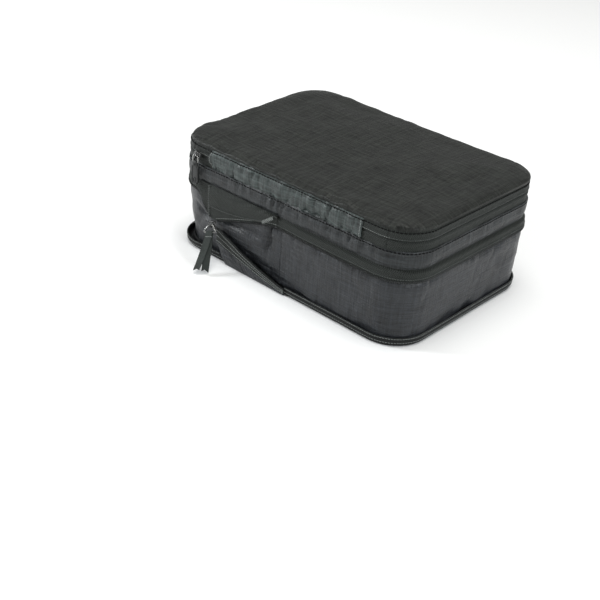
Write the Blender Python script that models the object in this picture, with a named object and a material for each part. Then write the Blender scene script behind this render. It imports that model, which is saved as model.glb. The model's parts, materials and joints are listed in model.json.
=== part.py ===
"""Compression packing cube: a soft zip-round case whose lower half folds down behind a second zip.

Frame: metres, +Z up, origin at the middle of the underside. +X runs along the long side, and the long
side that faces -Y holds the hinge strip, both sliders and the raised stretch of the compression zip.
Every wall is placed by its offset from one outline, a rounded rectangle: positive is outwards.
"""

import math

import bmesh
import bpy
from mathutils import Vector

# Plan outline
HALF_X = 0.1245
HALF_Y = 0.0845
CORNER = 0.030
CORNER_STEPS = 7

# Sheet thicknesses and the gap kept between neighbours
FABRIC = 0.0012
TAPE = 0.0008
GAP = 0.0003

# Heights
PANEL_TOP = 0.0012
LOWER_TAPE_TOP = 0.0055
UPPER_COIL_LOW = 0.0552
COIL_HEIGHT = 0.0018
COMPRESSION_SEAM = 0.0658
BAND_TOP = 0.0798
HINGE_HEIGHT = 0.0880
TOP_SEAM = 0.0960
CROWN = 0.0050
MAIN_COIL_HEIGHT = 0.0013

# Long-side stations along X
STRIP_HALF = 0.080
BAR_TACK_X = -0.0105
TAPE_START_X = -0.0045
COMP_SLIDER_X = -0.0740
COMP_SLIDER_Z = 0.0330
RAMP_FOOT_X = 0.0080
RAMP_LEFT_X = -0.0680
END_SEAM_X = -0.0810
FAR_END_X = -0.0960
MAIN_SLIDER_X = CORNER - HALF_X

# Pulls
RIBBON_WIDTH = 0.0072
RIBBON_LENGTH = 0.0345
RIBBON_LEAN = math.radians(41)
RIBBON_YAW = math.radians(20)
RIBBON_ROLL = math.radians(-12)
PULL_WIDTH = 0.0080
PULL_LENGTH = 0.0250
WIRE = 0.0006
BRIDGE_RISE = 0.0040
BRIDGE_GAP = 0.0015
COMP_RING_DROP = 0.0064
MAIN_LINK_DROP = 0.0058

# Grab handle
HANDLE_LOW = 0.0672
HANDLE_HIGH = 0.0792
HANDLE_HALF_SPAN = 0.0306
HANDLE_RISE = 0.0130
HANDLE_SWING_Y = 0.0229
HANDLE_FOOT_END = 0.0420
WEBBING_THICK = 0.0016

STRAIGHT_X = 2 * (HALF_X - CORNER)
STRAIGHT_Y = 2 * (HALF_Y - CORNER)
ARC = CORNER * math.pi / 2
PERIMETER = 2 * STRAIGHT_X + 2 * STRAIGHT_Y + 4 * ARC
WALL_Y = -HALF_Y


# ---------------------------------------------------------------- materials


def material(name, color, roughness, metallic=0.0):
    """A Principled material, made once and shared by name."""
    found = bpy.data.materials.get(name)
    if found:
        return found
    made = bpy.data.materials.new(name)
    made.use_nodes = True
    shader = made.node_tree.nodes["Principled BSDF"]
    shader.inputs["Base Color"].default_value = (*color, 1.0)
    shader.inputs["Roughness"].default_value = roughness
    shader.inputs["Metallic"].default_value = metallic
    return made


def ripstop():
    return material("ripstop", (0.036, 0.040, 0.038), 0.55)


def tape_cloth():
    return material("tape_cloth", (0.043, 0.047, 0.040), 0.70)


def coil_plastic():
    return material("coil_plastic", (0.020, 0.022, 0.021), 0.40)


def binding_cloth():
    return material("binding_cloth", (0.030, 0.033, 0.031), 0.75)


def webbing():
    return material("webbing", (0.045, 0.050, 0.047), 0.80)


def thread():
    return material("thread", (0.060, 0.064, 0.060), 0.60)


def gunmetal():
    return material("gunmetal", (0.25, 0.25, 0.25), 0.30, 1.0)


def moulded():
    return material("moulded", (0.028, 0.030, 0.029), 0.45)


# ---------------------------------------------------------------- outline


def outline_marks():
    """Distances along the outline where its sections need a corner: the ends and steps of each arc."""
    marks = []
    at = STRAIGHT_X / 2
    for straight in (STRAIGHT_Y, STRAIGHT_X, STRAIGHT_Y, STRAIGHT_X / 2):
        marks += [at + ARC * i / CORNER_STEPS for i in range(CORNER_STEPS + 1)]
        at += ARC + straight
    return marks


def outline_at(distance):
    """Point and outward normal, starting at the middle of the -Y side and running towards +X."""
    left = (distance + STRAIGHT_X / 2) % PERIMETER
    turn = -90.0
    corner_x, corner_y = HALF_X - CORNER, HALF_Y - CORNER
    runs = (
        (STRAIGHT_X, corner_x, -corner_y),
        (STRAIGHT_Y, corner_x, corner_y),
        (STRAIGHT_X, -corner_x, corner_y),
        (STRAIGHT_Y, -corner_x, -corner_y),
    )
    for straight, centre_x, centre_y in runs:
        centre = Vector((centre_x, centre_y, 0))
        if left <= straight:
            normal = Vector((math.cos(math.radians(turn)), math.sin(math.radians(turn)), 0))
            along = Vector((-normal.y, normal.x, 0))
            return centre + normal * CORNER - along * (straight - left), normal
        left -= straight
        if left <= ARC:
            angle = math.radians(turn + 90 * left / ARC)
            normal = Vector((math.cos(angle), math.sin(angle), 0))
            return centre + normal * CORNER, normal
        left -= ARC
        turn += 90
    return outline_at(0.0)


def stations(start, end):
    """Distances from start to end, with every mark of the outline between them."""
    laps = [mark + lap * PERIMETER for lap in (-1, 0, 1) for mark in outline_marks()]
    inside = sorted(mark for mark in laps if start + 1e-6 < mark < end - 1e-6)
    return [start, *inside, end]


# ---------------------------------------------------------------- mesh helpers


def add_object(name, mesh_data, look, smooth_angle=35):
    """Turns a bmesh into an object with its normals facing out."""
    bmesh.ops.remove_doubles(mesh_data, verts=mesh_data.verts, dist=1e-7)
    bmesh.ops.recalc_face_normals(mesh_data, faces=mesh_data.faces)
    mesh = bpy.data.meshes.new(name)
    mesh_data.to_mesh(mesh)
    mesh_data.free()
    mesh.materials.append(look)
    mesh.shade_smooth()
    mesh.set_sharp_from_angle(angle=math.radians(smooth_angle))
    made = bpy.data.objects.new(name, mesh)
    bpy.context.scene.collection.objects.link(made)
    return made


def skin_sections(mesh_data, sections, closed):
    """Faces between rings of points, with flat ends unless the rings close on themselves."""
    rings = [[mesh_data.verts.new(point) for point in section] for section in sections]
    pairs = list(zip(rings, rings[1:]))
    if closed:
        pairs.append((rings[-1], rings[0]))
    for ring, following in pairs:
        for i, vert in enumerate(ring):
            j = (i + 1) % len(ring)
            mesh_data.faces.new((vert, ring[j], following[j], following[i]))
    if not closed:
        mesh_data.faces.new(rings[0])
        mesh_data.faces.new(rings[-1])


def box_section(inner, outer, low, high, flare=0.0):
    """A strip's section as (offset, height) points; flare moves its top edge outwards."""
    return [(inner, low), (outer, low), (outer + flare, high), (inner + flare, high)]


def round_section(offset, height, half_thick, half_high, sides=6):
    angles = [2 * math.pi * (i + 0.5) / sides for i in range(sides)]
    return [(offset + half_thick * math.cos(a), height + half_high * math.sin(a)) for a in angles]


def wall_strip(name, section, look, start=0.0, end=None):
    """A strip that follows the outline from start to end, or all the way round."""
    closed = end is None
    marks = outline_marks() if closed else stations(start, end)
    mesh_data = bmesh.new()
    rings = []
    for mark in marks:
        point, normal = outline_at(mark)
        rings.append([point + normal * offset + Vector((0, 0, height)) for offset, height in section])
    skin_sections(mesh_data, rings, closed)
    return add_object(name, mesh_data, look)


def face_strip(name, look, xs, low, high, inner, outer):
    """A strip on the -Y side whose lower and upper edges are functions of x."""
    mesh_data = bmesh.new()
    rings = []
    for x in xs:
        rings.append(
            [
                (x, WALL_Y - inner, low(x)),
                (x, WALL_Y - outer, low(x)),
                (x, WALL_Y - outer, high(x)),
                (x, WALL_Y - inner, high(x)),
            ]
        )
    skin_sections(mesh_data, rings, closed=False)
    return add_object(name, mesh_data, look)


def sweep(mesh_data, path, radius, sides=6, closed=False):
    """A round wire along a path of points, with its sections square to the path."""
    points = [Vector(p) for p in path]
    count = len(points)
    side = None
    rings = []
    for i, point in enumerate(points):
        before = points[(i - 1) % count] if closed or i else point
        after = points[(i + 1) % count] if closed or i < count - 1 else point
        along = (after - before).normalized()
        if side is None:
            side = along.orthogonal().normalized()
        side = (side - along * side.dot(along)).normalized()
        up = along.cross(side)
        angles = [2 * math.pi * k / sides for k in range(sides)]
        rings.append([point + radius * (side * math.cos(a) + up * math.sin(a)) for a in angles])
    skin_sections(mesh_data, rings, closed)


def spread(start, end, count):
    return [start + (end - start) * i / (count - 1) for i in range(count)]


def join_union(body, other):
    """Adds other to body as one solid."""
    union = body.modifiers.new("join_" + other.name, "BOOLEAN")
    union.operation = "UNION"
    union.object = other
    other.hide_render = True
    other.display_type = "WIRE"


def joint_empty(name, location):
    empty = bpy.data.objects.new(name, None)
    empty.location = location
    empty.empty_display_size = 0.01
    bpy.context.scene.collection.objects.link(empty)
    return empty


# ---------------------------------------------------------------- curves of the compression zip


def ramp_chain(x):
    """Height of the lower coil's line where it climbs from the base to the slider."""
    share = min(max((x - COMP_SLIDER_X) / (RAMP_FOOT_X - COMP_SLIDER_X), 0.0), 1.0)
    return LOWER_TAPE_TOP + (COMP_SLIDER_Z - 0.001 - LOWER_TAPE_TOP) * (1 - share) ** 1.2


def start_chain(x):
    """Height of the upper coil's line where it runs down from the seam tape to the slider."""
    share = min(max((TAPE_START_X - x) / (TAPE_START_X - COMP_SLIDER_X), 0.0), 1.0)
    return UPPER_COIL_LOW - (UPPER_COIL_LOW - COMP_SLIDER_Z - 0.001) * share**1.25


# ---------------------------------------------------------------- base


def bottom_panel():
    mesh_data = bmesh.new()
    inset = -FABRIC + 0.0001
    rings = []
    for height in (0.0, PANEL_TOP):
        ring = []
        for mark in outline_marks():
            point, normal = outline_at(mark)
            ring.append(point + normal * inset + Vector((0, 0, height)))
        rings.append(ring)
    skin_sections(mesh_data, rings, closed=False)
    return add_object("bottom_panel", mesh_data, ripstop())


def base_pieces():
    """Everything sewn to the bottom panel's edge that stays down."""
    low = PANEL_TOP + GAP
    gusset = box_section(-2 * FABRIC - 0.0001, -FABRIC, low, COMPRESSION_SEAM - GAP)
    wall_strip("gusset", gusset, ripstop())
    ends = (RAMP_FOOT_X + GAP, PERIMETER + RAMP_LEFT_X - GAP)
    tape = box_section(-TAPE, 0.0, 0.0005, LOWER_TAPE_TOP, flare=0.0008)
    wall_strip("comp_lower_tape", tape, tape_cloth(), *ends)
    middle = LOWER_TAPE_TOP + GAP + COIL_HEIGHT / 2
    coil = round_section(0.0005, middle, 0.0010, COIL_HEIGHT / 2)
    wall_strip("comp_lower_coil", coil, coil_plastic(), *ends)
    binding = box_section(-0.0042, -0.0029, low, 0.0066)
    wall_strip("base_seam_binding", binding, binding_cloth())


def ramp_pieces():
    """The lower half of the compression zip where it climbs from the base to the slider."""
    inner, outer = 0.0004, 0.0004 + TAPE
    xs = spread(RAMP_LEFT_X, RAMP_FOOT_X, 9)

    def tape_low(x):
        share = (x - RAMP_LEFT_X) / (RAMP_FOOT_X - RAMP_LEFT_X)
        return 0.0022 + (ramp_chain(RAMP_LEFT_X) - 0.0145) * (1 - share) ** 1.2

    def web_high(x):
        return tape_low(x) - GAP

    face_strip("ramp_tape", tape_cloth(), xs, tape_low, ramp_chain, inner, outer)
    face_strip("ramp_web", ripstop(), xs, lambda x: 0.0006, web_high, inner, outer)
    path = [(x, WALL_Y - 0.0012, ramp_chain(x) + GAP + COIL_HEIGHT / 2) for x in xs]
    mesh_data = bmesh.new()
    sweep(mesh_data, path, COIL_HEIGHT / 2)
    add_object("ramp_coil", mesh_data, coil_plastic())


# ---------------------------------------------------------------- upper frame


def upper_walls():
    band = box_section(-FABRIC, 0.0, COMPRESSION_SEAM + GAP, BAND_TOP)
    wall_strip("middle_band", band, ripstop())
    binding = box_section(-0.0042, -0.0029, 0.0630, 0.0692)
    wall_strip("middle_seam_binding", binding, binding_cloth())


def compression_upper_half():
    ends = (TAPE_START_X + GAP, PERIMETER + FAR_END_X - GAP)
    tape_low = UPPER_COIL_LOW + COIL_HEIGHT + GAP
    tape = box_section(-TAPE, 0.0, tape_low, COMPRESSION_SEAM)
    wall_strip("comp_upper_tape", tape, tape_cloth(), *ends)
    coil = round_section(0.0, UPPER_COIL_LOW + COIL_HEIGHT / 2, 0.0010, COIL_HEIGHT / 2)
    wall_strip("comp_upper_coil", coil, coil_plastic(), *ends)


def zip_start_pieces():
    """The upper half of the compression zip near the slider, and what it is sewn down with."""
    inner, outer = 0.0003, 0.0003 + TAPE
    xs = spread(END_SEAM_X + 0.0015, TAPE_START_X, 8)
    lift = COIL_HEIGHT + GAP

    def tape_low(x):
        return start_chain(x) + lift

    def tape_high(x):
        share = (x - xs[0]) / (xs[-1] - xs[0])
        return min(tape_low(x) + 0.0125, COMPRESSION_SEAM - 0.0045 * (1 - share))

    face_strip("zip_start_tape", tape_cloth(), xs, tape_low, tape_high, inner, outer)
    coil_xs = spread(COMP_SLIDER_X + 0.0055, TAPE_START_X, 8)
    path = [(x, WALL_Y - 0.0009, start_chain(x) + COIL_HEIGHT / 2) for x in coil_xs]
    mesh_data = bmesh.new()
    sweep(mesh_data, path, COIL_HEIGHT / 2)
    add_object("zip_start_coil", mesh_data, coil_plastic())
    facing_xs = (END_SEAM_X + 0.0015, TAPE_START_X)
    facing_in = outer + GAP
    face_strip(
        "seam_facing",
        tape_cloth(),
        facing_xs,
        lambda x: UPPER_COIL_LOW + COIL_HEIGHT + GAP,
        lambda x: COMPRESSION_SEAM,
        facing_in,
        facing_in + TAPE,
    )
    tack_in = facing_in + TAPE + GAP
    tack_xs = (BAR_TACK_X - 0.0055, BAR_TACK_X + 0.0055)
    face_strip(
        "bar_tack",
        thread(),
        tack_xs,
        lambda x: 0.0595 + 0.45 * (x - tack_xs[0]),
        lambda x: 0.0622 + 0.45 * (x - tack_xs[0]),
        tack_in,
        tack_in + 0.0009,
    )
    far_xs = (FAR_END_X, END_SEAM_X - 0.0019)
    face_strip(
        "zip_far_end_tape",
        tape_cloth(),
        far_xs,
        lambda x: 0.0573 - 0.0190 * (x - far_xs[0]) / (far_xs[1] - far_xs[0]),
        lambda x: COMPRESSION_SEAM,
        inner,
        outer,
    )
    seam_xs = (END_SEAM_X - 0.0016, END_SEAM_X + 0.0012)
    face_strip(
        "zip_end_seam",
        thread(),
        seam_xs,
        lambda x: 0.0370,
        lambda x: COMPRESSION_SEAM - 0.0005,
        inner,
        outer + 0.0004,
    )


def hinge_pieces():
    """The hinge strip and the closed ends of the main zip beside it: all the fabric that bends."""
    low = BAND_TOP + GAP
    strip = box_section(-FABRIC, 0.0, low, TOP_SEAM - GAP)
    wall_strip("hinge_strip", strip, ripstop(), -STRIP_HALF, STRIP_HALF)
    reach = STRAIGHT_X / 2 + 0.010
    end_section = box_section(-TAPE, 0.0, low, TOP_SEAM - GAP)
    wall_strip("zip_end_right", end_section, tape_cloth(), STRIP_HALF + GAP, reach)
    wall_strip("zip_end_left", end_section, tape_cloth(), PERIMETER - reach, PERIMETER - STRIP_HALF - GAP)


def main_zip_span():
    reach = STRAIGHT_X / 2 + 0.010 + GAP
    return reach, PERIMETER - reach


def main_zip_lower_half():
    tape_top = HINGE_HEIGHT - GAP / 2 - MAIN_COIL_HEIGHT - GAP
    tape = box_section(-TAPE, 0.0, BAND_TOP + GAP, tape_top)
    wall_strip("main_lower_tape", tape, tape_cloth(), *main_zip_span())
    middle = HINGE_HEIGHT - GAP / 2 - MAIN_COIL_HEIGHT / 2
    coil = round_section(-TAPE / 2, middle, 0.0008, MAIN_COIL_HEIGHT / 2)
    wall_strip("main_lower_coil", coil, coil_plastic(), *main_zip_span())


# ---------------------------------------------------------------- lid


def main_zip_upper_half():
    tape_low = HINGE_HEIGHT + GAP / 2 + MAIN_COIL_HEIGHT + GAP
    tape = box_section(-TAPE, 0.0, tape_low, TOP_SEAM - GAP)
    wall_strip("main_upper_tape", tape, tape_cloth(), *main_zip_span())
    middle = HINGE_HEIGHT + GAP / 2 + MAIN_COIL_HEIGHT / 2
    coil = round_section(-TAPE / 2, middle, 0.0008, MAIN_COIL_HEIGHT / 2)
    wall_strip("main_upper_coil", coil, coil_plastic(), *main_zip_span())


def crown_height(share):
    """Height of the top panel over its seam, from 1 at the middle to 0 at the edge."""
    return CROWN * (1 - share**3.2)


def top_panel():
    """A thin crowned shell, open underneath."""
    shares = (0.3, 0.55, 0.75, 0.88, 0.96, 1.0)
    mesh_data = bmesh.new()
    layers = []
    for base in (TOP_SEAM, TOP_SEAM + FABRIC):
        middle = mesh_data.verts.new((0, 0, base + CROWN))
        rings = []
        for share in shares:
            points = [outline_at(mark)[0] * share for mark in outline_marks()]
            lift = Vector((0, 0, base + crown_height(share)))
            rings.append([mesh_data.verts.new(point + lift) for point in points])
        layers.append((middle, rings))
    for middle, rings in layers:
        first = rings[0]
        for i, vert in enumerate(first):
            mesh_data.faces.new((middle, vert, first[(i + 1) % len(first)]))
        for ring, wider in zip(rings, rings[1:]):
            for i in range(len(ring)):
                j = (i + 1) % len(ring)
                mesh_data.faces.new((ring[i], wider[i], wider[j], ring[j]))
    low, high = layers[0][1][-1], layers[1][1][-1]
    for i in range(len(low)):
        j = (i + 1) % len(low)
        mesh_data.faces.new((low[i], low[j], high[j], high[i]))
    return add_object("top_panel", mesh_data, ripstop())


def lid_pieces():
    main_zip_upper_half()
    top_panel()
    binding = box_section(-0.0030, -0.0017, 0.0900, TOP_SEAM - GAP)
    wall_strip("top_seam_binding", binding, binding_cloth())


# ---------------------------------------------------------------- sliders and pulls


def slider_body(name, centre, length, height, thickness):
    """A tapered slider plate with a bridge over its face, as one solid."""
    mesh_data = bmesh.new()
    bmesh.ops.create_cube(mesh_data, size=1.0)
    for vert in mesh_data.verts:
        narrow = 0.72 if vert.co.x < 0 else 1.0
        vert.co = Vector((vert.co.x * length, vert.co.y * thickness, vert.co.z * height * narrow))
    bmesh.ops.bevel(
        mesh_data,
        geom=list(mesh_data.edges),
        offset=thickness * 0.3,
        segments=2,
        affect="EDGES",
        profile=0.5,
    )
    plate = add_object(name, mesh_data, gunmetal())
    plate.location = centre
    bridge = bmesh.new()
    face = -thickness / 2 + WIRE
    path = [
        (0, face - BRIDGE_RISE * math.sin(angle), height * 0.30 * math.cos(angle))
        for angle in spread(0.0, math.pi, 7)
    ]
    sweep(bridge, path, WIRE)
    arch = add_object(name + "_bridge", bridge, gunmetal())
    arch.location = centre
    join_union(plate, arch)
    return plate


def rounded_path(corners, radius, steps=4):
    """Points along a closed outline of (x, z) corners, each corner turned into a curve."""
    path = []
    for i, corner in enumerate(corners):
        here = Vector(corner)
        before = Vector(corners[i - 1])
        after = Vector(corners[(i + 1) % len(corners)])
        start = here + (before - here).normalized() * radius
        end = here + (after - here).normalized() * radius
        for share in spread(0.0, 1.0, steps + 1):
            bent = start.lerp(here, share).lerp(here.lerp(end, share), share)
            path.append((bent.x, 0, bent.y))
    return path


def wire_link(name, top_half, bottom_half, drop):
    """A closed wire in the local XZ plane that hangs from its top bar, on the local X axis."""
    corners = [(top_half, 0), (bottom_half, -drop), (-bottom_half, -drop), (-top_half, 0)]
    mesh_data = bmesh.new()
    sweep(mesh_data, rounded_path(corners, 0.0014), WIRE, closed=True)
    return add_object(name, mesh_data, gunmetal())


def ribbon_pull(name):
    """A ribbon folded over a wire that lies on the local X axis, its two tails hanging down."""
    loop = 0.0014
    half_thick = 0.00045
    tail = RIBBON_LENGTH - loop
    angles = spread(math.radians(-20), math.radians(200), 9)
    centre_line = [Vector((0, 0.0016, -tail)), Vector((0, 0.0013, -tail * 0.5))]
    centre_line += [Vector((0, loop * math.cos(a), loop * math.sin(a))) for a in angles]
    centre_line += [Vector((0, -0.0013, -tail * 0.5)), Vector((0, -0.0016, -tail))]
    half = Vector((RIBBON_WIDTH / 2, 0, 0))
    mesh_data = bmesh.new()
    sections = []
    for i, point in enumerate(centre_line):
        before = centre_line[max(i - 1, 0)]
        after = centre_line[min(i + 1, len(centre_line) - 1)]
        along = (after - before).normalized()
        outer = Vector((0, along.z, -along.y)) * half_thick
        low, high = point - outer, point + outer
        sections.append([low - half, low + half, high + half, high - half])
    skin_sections(mesh_data, sections, closed=False)
    return add_object(name, mesh_data, webbing())


def compression_puller():
    """Slider, wire ring and folded ribbon, leaning out with the ribbon's tails near the ground."""
    thickness = 0.0024
    centre = Vector((COMP_SLIDER_X, WALL_Y - 0.0031, COMP_SLIDER_Z))
    slider_body("comp_slider", centre, 0.0095, 0.0068, thickness)
    ring_pivot = joint_empty("comp_ring_axis", centre + Vector((0, -thickness / 2 - BRIDGE_GAP, 0)))
    ring_pivot.rotation_euler = (0, 0, RIBBON_YAW)
    ring = wire_link("comp_ring", 0.0018, 0.0056, COMP_RING_DROP)
    ring.parent = ring_pivot
    ring.rotation_mode = "YXZ"
    ring.rotation_euler = (-RIBBON_LEAN, RIBBON_ROLL, 0)
    ribbon_pivot = joint_empty("comp_ribbon_axis", (0, 0, -COMP_RING_DROP))
    ribbon_pivot.parent = ring
    ribbon = ribbon_pull("comp_ribbon_pull")
    ribbon.parent = ribbon_pivot


def moulded_pull(name):
    """A flat pull with a round end, hanging from a bar that runs through its narrow top."""
    half_thick = 0.0014
    half = PULL_WIDTH / 2
    neck = 0.0021
    top = -MAIN_LINK_DROP + 0.0016
    shoulder = -MAIN_LINK_DROP - 0.0016
    low = -PULL_LENGTH + half
    outline = [(-neck, top), (neck, top), (neck, shoulder), (half, shoulder - 0.0015)]
    outline += [(half * math.cos(a), low + half * math.sin(a)) for a in spread(0.0, -math.pi, 9)]
    outline += [(-half, shoulder - 0.0015), (-neck, shoulder)]
    mesh_data = bmesh.new()
    rings = [[(x, y, z) for x, z in outline] for y in (-half_thick, half_thick)]
    skin_sections(mesh_data, rings, closed=False)
    pull = add_object(name, mesh_data, moulded())
    channel = bmesh.new()
    sweep(channel, [(-half, 0, -MAIN_LINK_DROP), (half, 0, -MAIN_LINK_DROP)], WIRE + GAP, sides=8)
    cutter = add_object(name + "_channel", channel, moulded())
    cutter.hide_render = True
    cutter.display_type = "WIRE"
    cut = pull.modifiers.new("channel", "BOOLEAN")
    cut.operation = "DIFFERENCE"
    cut.object = cutter
    return pull, cutter


def main_puller():
    """The main slider with its link and moulded pull, hanging against the hinge side."""
    thickness = 0.0022
    centre = Vector((MAIN_SLIDER_X, WALL_Y - 0.0024, HINGE_HEIGHT))
    slider_body("main_slider", centre, 0.0085, 0.0070, thickness)
    pivot = joint_empty("main_pull_axis", centre + Vector((0, -thickness / 2 - BRIDGE_GAP, 0)))
    link = wire_link("main_link", 0.0037, 0.0037, MAIN_LINK_DROP)
    for piece in (link, *moulded_pull("main_pull")):
        piece.parent = pivot


# ---------------------------------------------------------------- grab handle


def handle_bow(y):
    """How far the webbing's inner face stands off the short side."""
    share = min(abs(y) / HANDLE_HALF_SPAN, 1.0)
    return GAP + HANDLE_RISE * max(math.cos(math.pi / 2 * share), 0.0) ** 0.8


def handle_stretch(name, start, end, count):
    mesh_data = bmesh.new()
    rings = []
    for y in spread(start, end, count):
        near = handle_bow(y)
        far = near + WEBBING_THICK
        corners = ((near, HANDLE_LOW), (far, HANDLE_LOW), (far, HANDLE_HIGH), (near, HANDLE_HIGH))
        rings.append([(-HALF_X - out, y, z) for out, z in corners])
    skin_sections(mesh_data, rings, closed=False)
    return add_object(name, mesh_data, webbing())


def grab_handle():
    """Webbing that arches off the short side: two sewn feet, and the stretch between them that swings."""
    handle_stretch("grab_handle", -HANDLE_SWING_Y, HANDLE_SWING_Y, 13)
    handle_stretch("grab_foot_front", -HANDLE_FOOT_END, -HANDLE_SWING_Y - GAP, 7)
    handle_stretch("grab_foot_back", HANDLE_SWING_Y + GAP, HANDLE_FOOT_END, 7)


# ---------------------------------------------------------------- whole cube


def clear_scene():
    for found in list(bpy.data.objects):
        bpy.data.objects.remove(found)


def build():
    clear_scene()
    bottom_panel()
    base_pieces()
    ramp_pieces()
    upper_walls()
    compression_upper_half()
    zip_start_pieces()
    hinge_pieces()
    main_zip_lower_half()
    lid_pieces()
    compression_puller()
    main_puller()
    grab_handle()


build()
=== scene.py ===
"""Looks for the compression packing cube: cloth, zips, stitches, pulls and their materials.

Every wall is a grid over two directions: the distance round the plan outline, and the height. An
offset says how far a point stands outside the outline. Metres throughout.
"""

import json
import math

import bmesh
import bpy
import numpy as np
from mathutils import Matrix, Vector


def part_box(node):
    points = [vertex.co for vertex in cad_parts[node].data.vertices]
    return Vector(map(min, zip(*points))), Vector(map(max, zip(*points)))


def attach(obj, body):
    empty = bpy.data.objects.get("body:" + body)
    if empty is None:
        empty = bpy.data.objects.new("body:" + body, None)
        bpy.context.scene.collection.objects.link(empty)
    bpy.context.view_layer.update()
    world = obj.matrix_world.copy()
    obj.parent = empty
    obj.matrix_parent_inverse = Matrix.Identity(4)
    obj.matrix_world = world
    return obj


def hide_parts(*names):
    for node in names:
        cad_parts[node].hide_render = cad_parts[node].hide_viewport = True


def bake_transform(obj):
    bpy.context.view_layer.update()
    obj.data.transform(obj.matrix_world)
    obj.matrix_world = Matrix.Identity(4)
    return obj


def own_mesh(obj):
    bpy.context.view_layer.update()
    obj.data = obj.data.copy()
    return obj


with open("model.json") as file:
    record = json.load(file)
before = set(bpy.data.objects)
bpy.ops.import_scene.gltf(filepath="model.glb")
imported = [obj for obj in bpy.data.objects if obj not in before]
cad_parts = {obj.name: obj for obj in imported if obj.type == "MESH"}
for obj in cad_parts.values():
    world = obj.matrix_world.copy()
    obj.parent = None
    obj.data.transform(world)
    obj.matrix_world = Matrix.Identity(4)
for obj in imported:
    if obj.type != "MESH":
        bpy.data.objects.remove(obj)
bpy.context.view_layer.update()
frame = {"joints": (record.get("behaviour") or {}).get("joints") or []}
JOINTS = {joint["name"]: joint for joint in frame["joints"]}
SLIDER_POINT = Vector(JOINTS["ring_swing"]["pos_m"])

# Plan outline and heights, read from the frame
BAND_LOW, BAND_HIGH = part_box("middle_band")
HALF_X = BAND_HIGH.x
HALF_Y = BAND_HIGH.y
CORNER = 0.030
WALL_Y = -HALF_Y
STRAIGHT_X = 2 * (HALF_X - CORNER)
STRAIGHT_Y = 2 * (HALF_Y - CORNER)
ARC = CORNER * math.pi / 2
PERIMETER = 2 * STRAIGHT_X + 2 * STRAIGHT_Y + 4 * ARC

SEAM_LOW = BAND_LOW.z - 0.0003
BAND_TOP = BAND_HIGH.z
ZIP_HEIGHT = (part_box("main_lower_coil")[1].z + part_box("main_upper_coil")[0].z) / 2
ZIP_STITCHES = ZIP_HEIGHT + 0.0016
TOP_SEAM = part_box("top_panel")[0].z
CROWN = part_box("top_panel")[1].z - TOP_SEAM - 0.0012
BASE_TAPE_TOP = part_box("comp_lower_tape")[1].z
UPPER_CHAIN = (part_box("comp_upper_coil")[0].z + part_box("comp_upper_coil")[1].z) / 2
COMP_STITCHES = UPPER_CHAIN + 0.0026
LOWER_CHAIN = (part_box("comp_lower_coil")[0].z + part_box("comp_lower_coil")[1].z) / 2
STRIP_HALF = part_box("hinge_strip")[1].x
TAPE_START_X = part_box("zip_start_tape")[1].x
FACING_LEFT_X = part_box("seam_facing")[0].x
RAMP_LEFT_X, RAMP_FOOT_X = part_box("ramp_tape")[0].x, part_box("ramp_tape")[1].x
FAR_LEFT_X, FAR_RIGHT_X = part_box("zip_far_end_tape")[0].x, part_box("zip_far_end_tape")[1].x
END_SEAM_X = (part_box("zip_end_seam")[0].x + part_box("zip_end_seam")[1].x) / 2

# Cloth
CLOTH = 0.0006
TAPE = 0.0006
SEAM_INSET = 0.0011
STITCH_PITCH = 0.0030
STITCH_LENGTH = 0.0023
THREAD = 0.00022
THREAD_LIFT = 0.0001
DARK_THREAD_RADIUS = 0.00045
COIL_PITCH = 0.00125
STUFFED = 0.0045
TAPE_STAND = 0.0018
FACING_DROP = 0.0105
STITCH_RISE = 0.00016
COIL_STEPS = 9
COIL_LEAN = 0.35
COIL_WIRE = 0.00030
FLAT_COIL = 0.0006

# Spacing of points along lines of stitches or coil, and across cloth on the long side
LINE_STEP = 0.0008
FACE_STEP = 0.0011

# Share of its height that folding cloth keeps when the cube is compressed
GUSSET_KEEP = 0.27
RAMP_KEEP = 0.13
START_KEEP = 0.30
FACING_KEEP = 0.80


# ---------------------------------------------------------------- outline and grids


def outline(distance):
    """Points and outward normals at distances from the middle of the -Y side, towards +X."""
    left = np.mod(np.asarray(distance, float) + STRAIGHT_X / 2, PERIMETER)
    x, y, nx, ny = (np.zeros_like(left) for _ in range(4))
    cx, cy = HALF_X - CORNER, HALF_Y - CORNER
    start, turn = 0.0, -math.pi / 2
    runs = ((STRAIGHT_X, cx, -cy), (STRAIGHT_Y, cx, cy), (STRAIGHT_X, -cx, cy), (STRAIGHT_Y, -cx, -cy))
    for straight, centre_x, centre_y in runs:
        on = (left >= start) & (left < start + straight + ARC)
        past = left - start - straight
        angle = turn + np.maximum(past, 0) / CORNER
        back = np.maximum(-past, 0)
        cos, sin = np.cos(angle), np.sin(angle)
        x = np.where(on, centre_x + cos * CORNER + sin * back, x)
        y = np.where(on, centre_y + sin * CORNER - cos * back, y)
        nx, ny = np.where(on, cos, nx), np.where(on, sin, ny)
        start += straight + ARC
        turn += math.pi / 2
    return x, y + stuffing(y), nx, ny


def stuffing(y):
    """How far what fills the cube pushes it out towards the back."""
    return STUFFED * smooth_step(-0.060, HALF_Y, y)


def points_at(x, y, z):
    return np.stack(np.broadcast_arrays(x, y, z), -1)


def run_along(points):
    """Distance along a line of points at each of them."""
    return np.concatenate([[0], np.cumsum(np.linalg.norm(np.diff(points, axis=0), axis=1))])


def wall_points(distance, offset, height):
    x, y, nx, ny = outline(distance)
    return points_at(x + nx * offset, y + ny * offset, height)


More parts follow.
